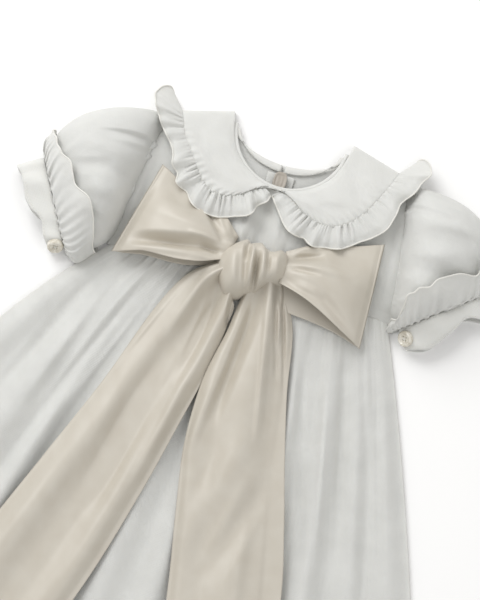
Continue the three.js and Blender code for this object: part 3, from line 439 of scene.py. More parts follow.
# The slider's outline is a rounded rectangle, a superellipse, narrower at its upper end. Its face has
# a shallow well with two ribs, and its sides fall to the tapes. Sizes on the disc are shares.
SLIDER = {"squareness": 3.4, "narrowing": 0.22, "face": 0.62, "well": 0.42, "well_edge": 0.12,
    "well_depth": 0.7, "rib_off": 0.12, "rib_reach": 0.09, "rib_edge": 0.1, "rib_height": 0.3}
slider_low, slider_high = (np.array(c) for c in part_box("zip_slider"))
middle = ((slider_low + slider_high) / 2 - PLACE) / MM
size = (slider_high - slider_low) / MM
px, py, out, turned = disc(33)
power = SLIDER["squareness"]
squared = (np.abs(np.cos(turned)) ** power + np.abs(np.sin(turned)) ** power) ** (-1 / power)
spread = np.sin(np.minimum(out * 1.25, 1) * np.pi / 2) ** 0.8
narrow = 1 - SLIDER["narrowing"] * ease((py - 0.1) / 0.9)
x = middle[0] + squared * spread * np.cos(turned) * size[0] / 2 * narrow
y = middle[1] + squared * spread * np.sin(turned) * size[1] / 2
fall = ease((out - SLIDER["face"]) / (1 - SLIDER["face"]))
well = ease((SLIDER["well"] - out) / SLIDER["well_edge"])
z = slider_high[2] / MM - fall * size[2] - SLIDER["well_depth"] * well
ribs = sum(bump((px + off) / SLIDER["rib_reach"]) for off in (SLIDER["rib_off"], -SLIDER["rib_off"]))
z = z + SLIDER["rib_height"] * ribs * ease((SLIDER["well"] - out) / SLIDER["rib_edge"])
thin_shell("zip_slider", "body", np.stack([x, y, z], -1), slider_paint, wall=0.6)

# The front of the yoke: one piece of voile from the shoulders to the waist seam, a little eased
# into it, so that small soft folds rise from behind the bow. Its sides run on under the sleeves.
LOWEST_FRONT = 2 * CLOTH + SEAM
BODICE_RISE = 7.5
UNDER_SLEEVE = 1.035
ARMHOLE_START = 0.08
YOKE_CREASES = (
    (-6, -4, -24, 44, 5, 9, 2.2),
    (12, -4, 14, 46, 4, 8, 1.8),
    (27, -4, 40, 34, 7, 4, -1.8),
    (-30, -4, -52, 40, 6, 4, -1.6),
    (-2, 10, -6, 58, 8, 6, -4.5),
    (-15, 18, -12, 52, 4, 5, 2.4),
    (9, 16, 7, 52, 4, 5, 2.4),
    (-70, 0, -86, 50, 5, 8, 1.6),
    (70, 0, 86, 46, 8, 5, 1.6),
    (94, 4, 88, 66, 4, 7, -1.5),
    (-94, 4, -88, 66, 7, 4, -1.5),
)


def bodice_front_height(across, up, x, y, neck):
    """The yoke's rise off the back: highest in its middle, and down to the back at the side seams
    below the armholes, and at the shoulders as the fifth power of the way up."""
    armhole = np.sin(np.pi * np.clip((up - ARMHOLE_START) / (1 - ARMHOLE_START), 0, 1)) ** 0.7
    side = 1 - across**4 * (1 - armhole)
    top = 1 - up**5 * (1 - neck)
    return lay(x, y) + LOWEST_FRONT + BODICE_RISE * side * top


def tucked(points, before, after):
    """A grid with two more rows of cloth at each end, tucked into the seam there: straight on past
    the end by a distance and down by a drop, half way and then all the way, but no lower than the
    grid itself."""
    rows = [points]
    for edge, inner, (distance, drop) in ((0, 1, before), (-1, -2, after)):
        way = unit(points[:, edge] - points[:, inner]) * distance
        near = points[:, edge] + way * 0.5 - [0, 0, drop * 0.35]
        far = points[:, edge] + way - [0, 0, drop]
        more = [near[:, None], far[:, None]]
        rows = more[::-1] + rows if edge == 0 else rows + more
    grid = np.concatenate(rows, axis=1)
    grid[..., 2] = np.maximum(grid[..., 2], points[..., 2].min())
    return grid


across, up = grid(np.linspace(-UNDER_SLEEVE, UNDER_SLEEVE, 125), np.linspace(0, 1, 70))
x, y, neck = bodice_plan(across, up, FRONT_NECK_DROP)
z = bodice_front_height(across, up, x, y, neck)
z = z + 0.8 * gathers(across, y - WAIST_Y, count=25, reach=16) * np.maximum(0, 1 - across**8)
z = z + creases(x, y, YOKE_CREASES) * ease(up / 0.1)
points = tucked(np.stack([x, y, z], -1), before=(1.2, 1.0), after=(0.6, 0.4))
yoke = thin_shell("bodice_front", "cloth", points, voile, wall=0.7)

# The front neck binding: a bias strip of voile, folded round the raw neck edge and sewn down inside,
# so that it rolls. It shows between the collar's two halves.
FRONT_BINDING = {"inset": 0.5, "width": 3.4, "reach": 0.94, "roll": 0.7}
turn, wide = grid(np.linspace(-FRONT_BINDING["reach"], FRONT_BINDING["reach"], 90), np.linspace(0, 1, 9))
x, y = neck_line(turn, FRONT_BINDING["inset"] + wide * FRONT_BINDING["width"], FRONT_NECK_DROP)
_, _, neck = bodice_plan(turn * NECK_SHARE, np.ones_like(turn), FRONT_NECK_DROP)
z = bodice_front_height(turn * NECK_SHARE, 1.0, x, y, neck) + FRONT_BINDING["roll"] * np.sin(np.pi * wide)
binding = thin_shell("neck_binding_front", "cloth", np.stack([x, y, z], -1), crisp_voile, wall=0.9)

# The front of the skirt: voile, gathered on to the yoke and hanging in long soft folds that widen
# towards the hem. It lies on the back skirt, so its troughs touch that and its ridges stand clear.
YOKE_RISE_ENDS = 0.4
FOLD_START = 0.15
FOLD_GROWN_AT = 0.2
FOLD_TOP = 5.9
ABOVE_BACK = 0.6


def table(columns, *rows):
    """Rows of numbers as one array to a named column."""
    return dict(zip(columns.split(), np.array(rows, float).T))


SKIRT_FOLDS = table(
    "waist hem reach height",
    (-0.93, -0.92, 0.09, 4.5),
    (-0.68, -0.74, 0.11, 7.5),
    (-0.54, -0.615, 0.055, 5.7),
    (-0.42, -0.48, 0.06, 5.5),
    (-0.3, -0.35, 0.075, 5.5),
    (-0.15, -0.18, 0.085, 5.5),
    (0, -0.02, 0.075, 5.5),
    (0.14, 0.12, 0.075, 5.5),
    (0.28, 0.24, 0.07, 5.5),
    (0.41, 0.36, 0.06, 5.2),
    (0.63, 0.51, 0.09, 8),
    (0.79, 0.7, 0.08, 4.5),
    (0.9, 0.9, 0.09, 5),
)
SKIRT_CREASES = (
    (-96, -8, -150, -132, 7, 6, -2.4),
    (-82, -8, -124, -138, 6, 7, -2.6),
    (-58, -10, -104, -128, 7, 5, -3),
    (-72, -12, -112, -120, 4, 5, 1.4),
    (44, -30, 88, -190, 6, 5, -2.2),
    (60, -20, 98, -190, 4, 5, 1.8),
    (72, -20, 113, -185, 5, 7, -2.2),
    (86, -8, 120, -122, 5, 4, 1.6),
    (94, -10, 146, -200, 3, 7, -1.4),
    (100, -60, 168, -320, 9, 5, -1.5),
    (-170, -150, -236, -420, 12, 7, -1.6),
    (-40, -300, -70, -520, 9, 6, -1.5),
    (30, -330, 40, -528, 6, 10, -1.5),
    (110, -300, 130, -520, 10, 7, -1.6),
    (-120, -260, -170, -500, 7, 11, -1.6),
    (170, -300, 214, -500, 8, 6, 1.2),
    (-200, -300, -246, -480, 6, 9, 1.2),
)


def yoke_share(down):
    """The share of the yoke's rise that the skirt still has: it eases to nothing down the cloth."""
    return 1 - ease(down / YOKE_RISE_ENDS)


def fold_share(down):
    """How far the folds have grown, from a little at the yoke to all a fifth of the way down."""
    return mix(FOLD_START, 1, ease(down / FOLD_GROWN_AT))


across, down = grid(np.linspace(-1, 1, 301), np.linspace(0, 1, 90) ** 1.35)
x, y = skirt_plan(across, down)
bent = 1 - (1 - down) ** 2
z = LOWEST_FRONT + BODICE_RISE * (1 - across**4) * yoke_share(down)
for waist, hem, reach, height in zip(*SKIRT_FOLDS.values()):
    z = z + height * bump((across - mix(waist, hem, bent)) / reach) * fold_share(down)
fall = SKIRT_LENGTH * down
z = z + 1.7 * gathers(across, fall, count=27, reach=30) * (1 - across**8)
z = z + 0.5 * gathers(across, fall, count=61, reach=24)
z = z + creases(x, y, SKIRT_CREASES) * ease(down / 0.03)
z = np.maximum(z, CLOTH + SEAM + ABOVE_BACK)
points = tucked(np.stack([x, y, z], -1), before=(1.5, 1.2), after=(0.5, 0.5))
skirt = thin_shell("skirt_front", "cloth", points, voile, wall=0.7)

# The sleeves: short puffs of voile, gathered at the head into the armhole and at the wrist into
# the cuff. Nothing fills them but their own spring, so they are soft, with a few long creases.
SLEEVES = {
    -1: table(
        "up_x up_y low_x low_y height",
        (91.5, 94.5, 101.5, 3, 12.5),
        (98, 96, 103.5, -2, 25),
        (113, 93.5, 106.5, -7, 36),
        (131, 87, 111.5, -12, 40),
        (149, 76, 118, -16.5, 37),
        (161, 60, 126, -19.5, 28),
        (165, 40, 132, -18.5, 17),
    ),
    1: table(
        "up_x up_y low_x low_y height",
        (91.5, 94.5, 101.5, 3, 12.5),
        (98, 96, 103.2, -0.5, 25),
        (114, 95, 104.5, -2.5, 36),
        (134, 90, 105.5, -4, 40),
        (152, 79, 106.5, -5.2, 37),
        (165, 61, 108, -6.4, 28),
        (170, 38.5, 110, -8, 17),
    ),
}
SLEEVE_LENGTH = 75
ROUNDNESS = 2.5
SIDE_FOLD_Z = 2.4
FRILL_LIFT = 1.6
SLEEVE_CREASES = {
    -1: (
        (-78, 75, -130, 63, 2.2, 8, -3.6),
        (-80, 64, -112, 58, 4, 5, -2),
        (-90, 32, -122, 41, 7, 9, -2.6),
        (-112, 42, -142, 34, 6, 9, -2.4),
        (-90, 50, -140, 52, 8, 8, 1.8),
        (-96, 22, -128, 22, 9, 8, 1.6),
        (-92, 90, -118, 92, 5, 7, -1.8),
        (-100, 2, -128, 4, 5, 8, -1.6),
    ),
    1: (
        (88, 78, 128, 70, 6, 4, -1.8),
        (92, 56, 144, 56, 10, 12, -2.4),
        (96, 30, 150, 34, 8, 10, -2.6),
        (104, 18, 146, 22, 5, 7, 2.4),
        (94, 90, 132, 86, 7, 6, -1.6),
        (104, 66, 150, 66, 6, 8, 1.6),
        (98, 42, 132, 44, 6, 7, 1.5),
        (96, 6, 116, 12, 5, 4, 1.6),
    ),
}


def along(values, place):
    """A smooth curve through a column's values, at a place counted in rows: a Catmull-Rom spline."""
    last = len(values) - 1
    place = np.clip(np.asarray(place, float), 0, last)
    i = np.minimum(place.astype(int), last - 1)
    w = place - i
    a, b, c, d = (values[np.clip(i + k, 0, last)] for k in (-1, 0, 1, 2))
    return b + 0.5 * w * (c - a + w * (2 * a - 5 * b + 4 * c - d + w * (3 * (b - c) + d - a)))


def section(rows, share):
    """Each column of a table at a share of the way from its first row to its last."""
    return {name: along(values, share * (len(values) - 1)) for name, values in rows.items()}


def signed_power(x, power):
    """x to a power, with its sign kept."""
    return np.sign(x) * np.abs(x) ** power


def flat_tube(upper, lower, height, floor, side_fold, turn):
    """A flattened cloth tube between two edges on the plan. Turn runs 0 to 1 round it, over the top
    from the upper edge to the lower one, as a superellipse, and back along the surface."""
    angle = 2 * np.pi * turn
    share = 0.5 + 0.5 * signed_power(np.cos(angle), 2 / ROUNDNESS)
    rise = signed_power(np.sin(angle), 2 / ROUNDNESS)
    edge = floor + side_fold
    over = mix(edge, height, rise)
    under = mix(edge, floor, np.clip(-1.5 * rise, 0, 1))
    x, y = (mix(low, up, share) for low, up in zip(lower, upper))
    return x, y, np.where(rise > 0, over, under)


def on_top(turn):
    """How far on top of its tube a place is: 1 in the middle, 0 at its edges and underneath."""
    return np.maximum(0, np.sin(2 * np.pi * turn))


def frill_waves(place, count, phase):
    """Uneven ruffle waves along a frill, from -1 to 1: a sine whose pace and size both wander."""
    angle = 2 * np.pi * (count * place + 0.35 * np.sin(2 * np.pi * 1.7 * place + phase))
    size = 0.72 + 0.28 * np.sin(2 * np.pi * 2.3 * place + 2 * phase)
    return size * np.sin(angle + phase)


def sleeve_points(turn, out, side):
    """A sleeve's face: its section's tube, with gathers that die away from the armhole and from the
    cuff, and creases across its top."""
    at = section(SLEEVES[side], out)
    floor = FRILL_LIFT * ease((out - 0.3) / 0.25)
    upper, lower = (at["up_x"], at["up_y"]), (at["low_x"], at["low_y"])
    x, y, z = flat_tube(upper, lower, at["height"], floor, SIDE_FOLD_Z, turn)
    over = np.sqrt(on_top(turn))
    across = 2 * turn + 0.03 * np.sin(31 * turn + side)
    from_head, from_wrist = SLEEVE_LENGTH * out, SLEEVE_LENGTH * (1 - out)
    head = 1.5 * gathers(across + side, from_head, count=23, reach=9)
    head = head + 1.4 * gathers(across, from_head, count=10, reach=20)
    wrist = 2.0 * gathers(across + 0.3, from_wrist, count=25, reach=10)
    wrist = wrist + 1.8 * gathers(across + side, from_wrist, count=11, reach=24)
    folds = creases(side * x, y, SLEEVE_CREASES[side]) * ease(out / 0.05)
    wander = 0.4 * frill_waves(2 * turn, 4.5, 1 + side) * ease(1 - out / 0.14) * over
    return side * (x + wander), y, z + over * (head + wrist - 1.6 + folds)


def round_steps(over, under):
    """Places round a tube: close together over its top and further apart underneath."""
    return np.concatenate([np.linspace(0, 0.5, over, endpoint=False),
        np.linspace(0.5, 1, under, endpoint=False)])


for word, side in SIDES.items():
    turn, out = grid(round_steps(150, 30), np.linspace(0, 1, 76))
    points = np.stack(sleeve_points(turn, out, side), -1)
    points = tucked(points, before=(5.0, 7.0), after=(2.0, 1.0))
    puff = thin_shell(f"sleeve_{word}", "cloth", points, voile, wall=0.6, ring=True, top=(75, 38))

# The cuff frills: a strip of voile gathered into each cuff seam, that lies back over the puff. Its
# free edge is a rolled hem, oversewn, which shows as a fine bright cord.
HEM = 0.55
HEM_UP = (0, 0, 0.4 * HEM)
CORD_SIDES = 8


def rolled_hem(name, path, radius, ring):
    """A rolled hem: a round cord carried along the frill's edge, eight-sided, its radius beating
    once a stitch where the oversewing thread bites into it. Open cords taper to closed tips."""
    n = len(path)
    ahead = unit(np.roll(path, -1, 0) - np.roll(path, 1, 0) if ring else np.gradient(path, axis=0))
    cross = unit(np.cross(ahead, [0, 0, 1.0]))
    up = np.cross(cross, ahead)
    turn = np.linspace(0, 2 * np.pi, CORD_SIDES + 1)[None, :-1, None]
    bite = radius * (1 + 0.12 * np.cos(np.arange(n) * np.pi))
    if not ring:
        bite = bite * np.clip(np.minimum(np.arange(n), n - 1 - np.arange(n)) / 2 + 0.1, 0, 1)
    offset = np.cos(turn) * cross[:, None] + np.sin(turn) * up[:, None]
    verts = path[:, None] + offset * bite[:, None, None]
    i, j = grid(np.arange(n if ring else n - 1), np.arange(CORD_SIDES))
    after, beside = (i + 1) % n, (j + 1) % CORD_SIDES
    corners = ((i, j), (i, beside), (after, beside), (after, j))
    faces = np.stack([CORD_SIDES * a + b for a, b in corners], -1).reshape(-1, 4).tolist()
    if not ring:
        tip = list(range(CORD_SIDES))
        faces += [tip[::-1], [CORD_SIDES * (n - 1) + k for k in tip]]
    return dress(new_piece(name, verts, faces), white_thread)


CUFF_FRILL = {
    -1: {"waves": 3.2, "high": 3.2, "sway": 2.8, "phase": 0.4},
    1: {"waves": 3.1, "high": 8, "sway": 8, "phase": 2.2},
}
FRILL_WIDTH = 17
NEAR_CUFF = 0.15


def cuff_frill_points(turn, back, side):
    """The frill over the sleeve's own face: back from the seam, it stands further off the puff, with
    tight gathers at the seam and fewer, larger ruffles at its edge, which also sway in plan."""
    waves, high, sway, phase = CUFF_FRILL[side].values()
    rows = SLEEVES[side]
    ends = [np.stack(sleeve_points(turn[:, :1], np.full_like(turn[:, :1], out), side)[:2])
        for out in (1, 1 - NEAR_CUFF)]
    stretch = np.linalg.norm(ends[0] - ends[1], axis=0) / NEAR_CUFF
    reach = np.clip(FRILL_WIDTH / np.maximum(stretch, 1), 0.1, 0.5)
    x, y, z = sleeve_points(turn, 1 - reach * back, side)
    way = unit(np.array([rows["up_x"][-1] - rows["low_x"][-1], rows["up_y"][-1] - rows["low_y"][-1]]))
    over = on_top(turn) ** 0.35
    ruffle = frill_waves(2 * turn, waves, phase)
    quick = frill_waves(2 * turn, 2.7 * waves, 2 * phase + 1) * (0.4 + 0.6 * bump(back / 1.2))
    tight = np.sin(2 * np.pi * 41 * turn + 2.5 * np.sin(9 * turn))
    tight = tight * (1 - back) ** 1.4 * ease(back / 0.06)
    stand = 3.4 + 3.6 * back**0.8 + high * ruffle * back + 1.5 * quick * back + 1.4 * tight
    spread = (5 + 4 * bump((back - 0.35) / 0.6) - 1.5 * back) * np.cos(2 * np.pi * turn)
    ripple = sway * (ruffle * back**1.5 + 0.35 * quick * back) * over
    x = x + side * (way[0] * spread - ripple * way[1])
    y = y + way[1] * spread + ripple * way[0] * 0.6
    return x, y, np.where(over > 0, z + over * stand, np.maximum(0, z - FRILL_LIFT))


for word, side in SIDES.items():
    turn, back = grid(round_steps(220, 30), np.linspace(0, 1, 18))
    points = np.stack(cuff_frill_points(turn, back, side), -1)
    hem = rolled_hem(f"cuff_frill_{word}_hem", points[:, -1] + HEM_UP, HEM, ring=True)
    points = tucked(points, before=(1.5, 2.5), after=(0.2, 0.1))
    frill = thin_shell(f"cuff_frill_{word}", "cloth", points, voile, wall=0.5, ring=True, top=(110, 10))

# The cuff bands: a doubled strip of voile round each wrist, topstitched along both edges, with its
# buttoned end lapped over the other.
CUFF_ENDS = {
    -1: {"up_x": 183, "up_y": 29, "low_x": 143, "low_y": -23.5},
    1: {"up_x": 180, "up_y": 22, "low_x": 118.5, "low_y": -21},
}
CUFF_BAND = {"cloth": 1.6, "side_fold": 4.4, "height": 15.5, "lap": 0.09, "seam": 0.03}
BAND_ON_TOP = slice(26, 108)
CUFF_BOWS = {
    -1: table("share reach bow", (0.3, 0.18, -2.6), (0.56, 0.2, 2.4), (0.85, 0.12, -1)),
    1: table("share reach bow", (0.2, 0.24, 5), (0.62, 0.22, -6.5), (0.9, 0.15, 1)),
}


def cuff_band_points(turn_on, out, side):
    """The band once round the wrist and a little more: a flattened tube, crinkled and rolled over
    its top, that sinks by its own thickness under the lap. Its free edge bows out and in."""
    rows = SLEEVES[side]
    lap = CUFF_BAND["lap"]
    reach = mix(CUFF_BAND["seam"], 1, out)
    ends = CUFF_ENDS[side]
    at = {name: mix(rows[name][-1], end, reach) for name, end in ends.items()}
    upper, lower = (at["up_x"], at["up_y"]), (at["low_x"], at["low_y"])
    height = mix(rows["height"][-1], CUFF_BAND["height"], reach)
    turn = mix(0.56 + lap, -0.44, turn_on) + 1
    x, y, z = flat_tube(upper, lower, height, 0, CUFF_BAND["side_fold"], turn % 1)
    over = np.sqrt(on_top(turn))
    crinkle = 0.8 * np.cos(20 * np.pi * turn + 1.2 * out) + 0.8 * np.sin(33 * turn + 2 * side + 3 * out)
    roll = (2.4 + 0.9 * np.sin(19 * turn + side)) * np.sin(np.pi * out) ** 0.6
    z = z + over * (crinkle + roll)
    sunk = (CUFF_BAND["cloth"] + SEAM) * (1 - ease((1 - turn_on) / (2 * lap)))
    middle = ((upper[0] + lower[0]) / 2, (upper[1] + lower[1]) / 2, height / 2)
    inward = unit(np.stack([middle[0] - x, middle[1] - y, middle[2] - z], -1))
    outward = unit(np.array([ends[f"up_{k}"] + ends[f"low_{k}"] - rows[f"up_{k}"][-1]
        - rows[f"low_{k}"][-1] for k in "xy"]))
    share = np.hypot(x - lower[0], y - lower[1]) / np.hypot(upper[0] - lower[0], upper[1] - lower[1])
    bow = sum(b * bump((share - s) / r) for s, r, b in zip(*CUFF_BOWS[side].values())) * out**1.5
    x, y = x + outward[0] * bow, y + outward[1] * bow
    x, y, z = x + sunk * inward[..., 0], y + sunk * inward[..., 1], z + sunk * inward[..., 2]
    return side * x, y, np.maximum(z, 0.1)


for word, side in SIDES.items():
    turn_on, out = grid(np.linspace(0, 1, 170), np.linspace(0, 1, 20))
    points = np.stack(cuff_band_points(turn_on, out, side), -1)
    band = thin_shell(f"cuff_band_{word}", "cloth", points, crisp_voile, wall=1.1, top=(60, 9))
    seams = [sewing(f"cuff_band_{word}_stitches_{edge}", points[BAND_ON_TOP, column])
        for edge, column in (("seam", 2), ("free", 17))]

# The cuff buttons: turned from shell, with a dished face and a rolled rim, and sewn through four
# holes on to the band's lap, with two bars of thread that cross.
BUTTON = {"radius": 5.75, "height": 2.8, "floor": 1.95, "rim": 0.75, "rim_out": 4.6, "rim_reach": 1.5,
    "dish": 0.25, "dish_reach": 2.6, "side": 0.92, "back": 1.25, "seat": 0.2}
HOLE = {"radius": 0.75, "out": 1.7, "depth": 1.3, "edge": 0.35}
HOLE_ANGLES = [math.pi / 4 + hole * math.pi / 2 for hole in range(4)]
THREAD = {"radius": 0.3, "level": 2.05, "over": 0.25, "sink": 0.8}


def pearl(name, pale, deep):
    """Mother of pearl: turned and polished shell, whose thin layers shine softly in two tones, in
    clouds of 3.8 mm."""
    material, shader, place = new_material(name, {"Roughness": 0.22, "Coat Weight": 0.6,
        "Coat Roughness": 0.08, "Specular IOR Level": 0.6})
    layers = add_node(material, "ShaderNodeTexNoise", {"Scale": 260.0, "Detail": 3.0, "Distortion": 1.2},
        {"Vector": (place, "Object")})
    ramp = add_node(material, "ShaderNodeValToRGB", {}, {"Fac": (layers, "Fac")},
        {"Color": (shader, "Base Color")})
    for stop, position, tone in zip(ramp.color_ramp.elements, (0.38, 0.62), (deep, pale)):
        stop.position = position
        stop.color = linear(tone)
    return material


shell = pearl("mother of pearl", "#E9E5DA", "#CFC8B8")


def on_band(place, across, side):
    """One point of the cuff band, from its places round and across it."""
    return np.array([float(v) for v in cuff_band_points(np.array(place), np.array(across), side)])


def button(word, side, place=0.19, across=0.5, step=0.02):
    """A button turned about its own axis: out from the middle, a flat dished floor with four sunk
    holes, a rounded rim, and the side down to the back. It stands on the band's lap, square to two
    short steps round and across the band."""
    middle = on_band(place, across, side)
    normal = unit(np.cross(on_band(place + step, across, side) - on_band(place - step, across, side),
        on_band(place, across + step, side) - on_band(place, across - step, side)))
    normal = normal * np.sign(normal[2])
    first = unit(np.cross([0.0, 1.0, 0.3], normal))
    second = np.cross(normal, first)
    _, _, out, turned = disc(49)
    out = out * BUTTON["back"]
    radius = BUTTON["radius"] * np.minimum(out, 1)
    rim = BUTTON["rim"] * bump((radius - BUTTON["rim_out"]) / BUTTON["rim_reach"])
    top = BUTTON["floor"] + rim - BUTTON["dish"] * bump(radius / BUTTON["dish_reach"])
    for angle in HOLE_ANGLES:
        gap = np.hypot(radius * np.cos(turned) - HOLE["out"] * math.cos(angle),
            radius * np.sin(turned) - HOLE["out"] * math.sin(angle))
        top = top - HOLE["depth"] * ease((HOLE["radius"] - gap) / HOLE["edge"])
    down_side = ease((out - BUTTON["side"]) / (BUTTON["back"] - BUTTON["side"]))
    level = top - down_side * BUTTON["height"]
    points = (middle + normal * (SEAM + BUTTON["seat"]) + (radius * np.cos(turned))[..., None] * first
        + (radius * np.sin(turned))[..., None] * second + level[..., None] * normal)
    thin_shell(f"cuff_button_{word}", "shell", points, shell, wall=0.5)
    reach = np.linspace(-1, 1, 11)[:, None]
    for k, angle in enumerate(HOLE_ANGLES[:2]):
        path = middle + normal * (SEAM + THREAD["level"] + THREAD["over"] * k)
        path = path + reach * HOLE["out"] * (math.cos(angle) * first + math.sin(angle) * second)
        path = path - np.abs(reach) ** 6 * normal * THREAD["sink"]
        rolled_hem(f"cuff_button_{word}_thread_{k + 1}", path, THREAD["radius"], ring=False)


for word, side in SIDES.items():
    button(word, side)

# The collar: two rounded halves of doubled voile, sewn round the neck from the centre front over
# the shoulders to the zip. They roll softly off the neck seam and lie on the yoke.
COLLAR = table(
    "neck_x neck_y neck_z seam_x seam_y seam_z edge_x edge_y edge_z",
    (1, 63.5, 13.8, 5, 62, 14.2, -3, 57, 17),
    (5, 64, 13.8, 13, 58, 15, 4, 47.5, 18.5),
    (10, 65, 13.8, 21, 52.5, 15.5, 13, 38, 19),
    (15, 66.5, 13.6, 31, 48.5, 15.8, 26, 32, 19.2),
    (20, 69, 13.2, 41, 47.5, 16, 40, 30, 19.2),
    (25.5, 72.5, 12.6, 51, 51, 16, 56, 34.5, 19.2),
    (31, 77.5, 11.8, 59, 58, 15.8, 71, 44.5, 19.2),
    (35.5, 83, 10.8, 65.5, 67, 15.2, 80.5, 56, 19.2),
    (39.5, 91, 9.4, 71.5, 78.5, 14, 85, 70, 19),
    (42.5, 100, 8, 76.5, 89.5, 12, 91, 84, 19),
    (44, 107, 7, 79.5, 97, 9.5, 96, 98, 18),
    (45.2, 111.6, 5.8, 81, 101.2, 6.8, 97.5, 108, 13),
    (45.6, 113, 3.4, 81.4, 102.6, 3.6, 92, 114, 7),
    (45.2, 112, 0.3, 81, 101.8, 0.3, 88, 106, 1.2),
    (44, 107, 0, 79, 96.5, 0, 86, 94, 0),
    (38, 96.4, 0, 74, 84, 0, 84, 79, 0),
    (26, 88.8, 0, 60, 65, 0, 71, 55, 0),
    (12, 85, 0, 37, 50.5, 0, 42, 36, 0),
    (1.2, 84, 0, 2.5, 47, 0, 1.5, 31, 0),
)
LAST_FRONT_ROW = 10
LEFT_LEAN = 5
COLLAR_CREASES = {
    -1: (
        (-66, 84, -38, 58, 5, 9, -1.3),
        (-50, 92, -30, 76, 6, 4, 1.0),
        (-60, 60, -30, 54, 4, 6, -1.0),
        (-70, 98, -58, 74, 6, 5, -1.2),
    ),
    1: (
        (44, 100, 62, 68, 8, 6, -1.5),
        (30, 60, 54, 62, 6, 5, -1.1),
        (56, 92, 72, 80, 5, 7, 1.1),
        (18, 62, 36, 54, 4, 5, 0.9),
    ),
}


def collar_point(row, edge, side):
    """A place on one of the collar's three lines, smooth through its rows. The left half's front
    leans towards the middle, as it lies."""
    x, y, z = (along(COLLAR[f"{edge}_{axis}"], row) for axis in "xyz")
    if side < 0 and edge != "neck":
        x = x + np.where(row < LAST_FRONT_ROW, LEFT_LEAN * (1 - x / 36) * ease((85 - y) / 25), 0)
    return np.stack([side * x, y, z], -1)


def collar_rows(front, back):
    """Places along the collar, closer together over its front than on its hidden half."""
    last = len(COLLAR["neck_x"]) - 1
    return np.concatenate([np.linspace(0, LAST_FRONT_ROW + 2, front, endpoint=False),
        np.linspace(LAST_FRONT_ROW + 2, last, back)])


for word, side in SIDES.items():
    row, out = grid(collar_rows(120, 32), np.linspace(0, 1, 32))
    points = mix(collar_point(row, "neck", side), collar_point(row, "seam", side), out[..., None])
    on_front = ease((LAST_FRONT_ROW - row) / 3)
    roll = 2.0 * np.sin(np.pi * out) ** 0.8 - 0.8 * ease((0.12 - out) / 0.12)
    pucker = 0.7 * np.sin(2 * np.pi * 1.9 * row + 2 * np.sin(row + side)) * ease((out - 0.75) / 0.25)
    hand = creases(points[..., 0], points[..., 1], COLLAR_CREASES[side])
    points[..., 2] += on_front * (roll + pucker + hand + 0.5 * ease((out - 0.6) / 0.3))
    points = tucked(points, before=(0.6, 0.6), after=(1.8, 2.4))
    half_collar = thin_shell(f"collar_{word}", "cloth", points, crisp_voile, wall=1.0, top=(48, 18))

# The collar frills: a strip of voile half as long again as the seam it is gathered into, round each
# half. The gathers are tight at the seam, tightest round the lobes, and open into uneven ruffles.
OVER_BOW = 16.8


def lifted_over(z, level):
    """A height that follows z well above a level and eases out to that level below it: half of the
    gap between them plus the root of its square plus 1."""
    clear = z - level
    return level + (clear + np.sqrt(clear**2 + 1)) / 2


def collar_frill_points(row, out, side):
    """The frill: from the seam to its edge, plus waves that grow outwards and sway the edge in and
    out, plus short uneven gathers at the seam that die away half way out. Where it lies over the
    bow it eases out to a height above the loops."""
    seam, edge = collar_point(row, "seam", side), collar_point(row, "edge", side)
    points = mix(seam, edge, out[..., None])
    on_front = ease((LAST_FRONT_ROW + 1.6 - row) / 2.2)
    waves = frill_waves(row / LAST_FRONT_ROW, 5.5, 0.8 + 1.3 * side)
    small = frill_waves(row / LAST_FRONT_ROW, 12.7, 2.1 - side)
    lobes = mix(0.45, 1.15, bump((row - 4.4) / 4.2))
    uneven = 1 + 0.45 * np.sin(5.3 * row + 2 * side) * np.sin(2.9 * row + 1)
    pleat_angle = 2 * np.pi * (1.8 * row + 0.5 * np.sin(2.1 * row + side))
    pleats = (np.abs(np.cos(pleat_angle / 2)) ** 0.7 - 0.6) * lobes * uneven
    pleats = pleats * np.exp(-((out / (0.52 * uneven)) ** 2)) * ease(out / 0.08)
    fine = np.sin(2 * np.pi * (4.6 * row + 0.3 * np.sin(3.3 * row))) * lobes * np.exp(-out / 0.25)
    outward = unit(edge - seam)
    points[..., 2] += on_front * (3.4 * waves * out**1.1 + 1.3 * small * out + 3.6 * pleats + 0.6 * fine)
    points[..., 2] += on_front * (1.2 * np.sin(np.pi * out) - 1.2 * ease((out - 0.72) / 0.28))
    over_bow = ease((row - 0.5) / 1.5) * ease((8.5 - row) / 1.5) * ease((out - 0.3) / 0.3)
    lifted = lifted_over(points[..., 2], OVER_BOW * over_bow)
    points[..., 2] = np.where(over_bow > 0, lifted, points[..., 2])
    ear = 5 * bump((row - 10.8) / 2.4) * out
    points += outward * (on_front * (1.8 * waves + 0.25 * small) * out**2 + ear)[..., None]
    points[..., 2] = np.where(row > LAST_FRONT_ROW + 3, points[..., 2], np.maximum(points[..., 2], 0.6))
    return points


for word, side in SIDES.items():
    row, out = grid(collar_rows(360, 50), np.linspace(0, 1, 20))
    points = collar_frill_points(row, out, side)
    hem = rolled_hem(f"collar_frill_{word}_hem", points[:, -1] + HEM_UP, HEM, ring=False)
    points = tucked(points, before=(2.0, 1.0), after=(0.2, 0.1))
    frill = thin_shell(f"collar_frill_{word}", "cloth", points, voile, wall=0.5, top=(137, 12))

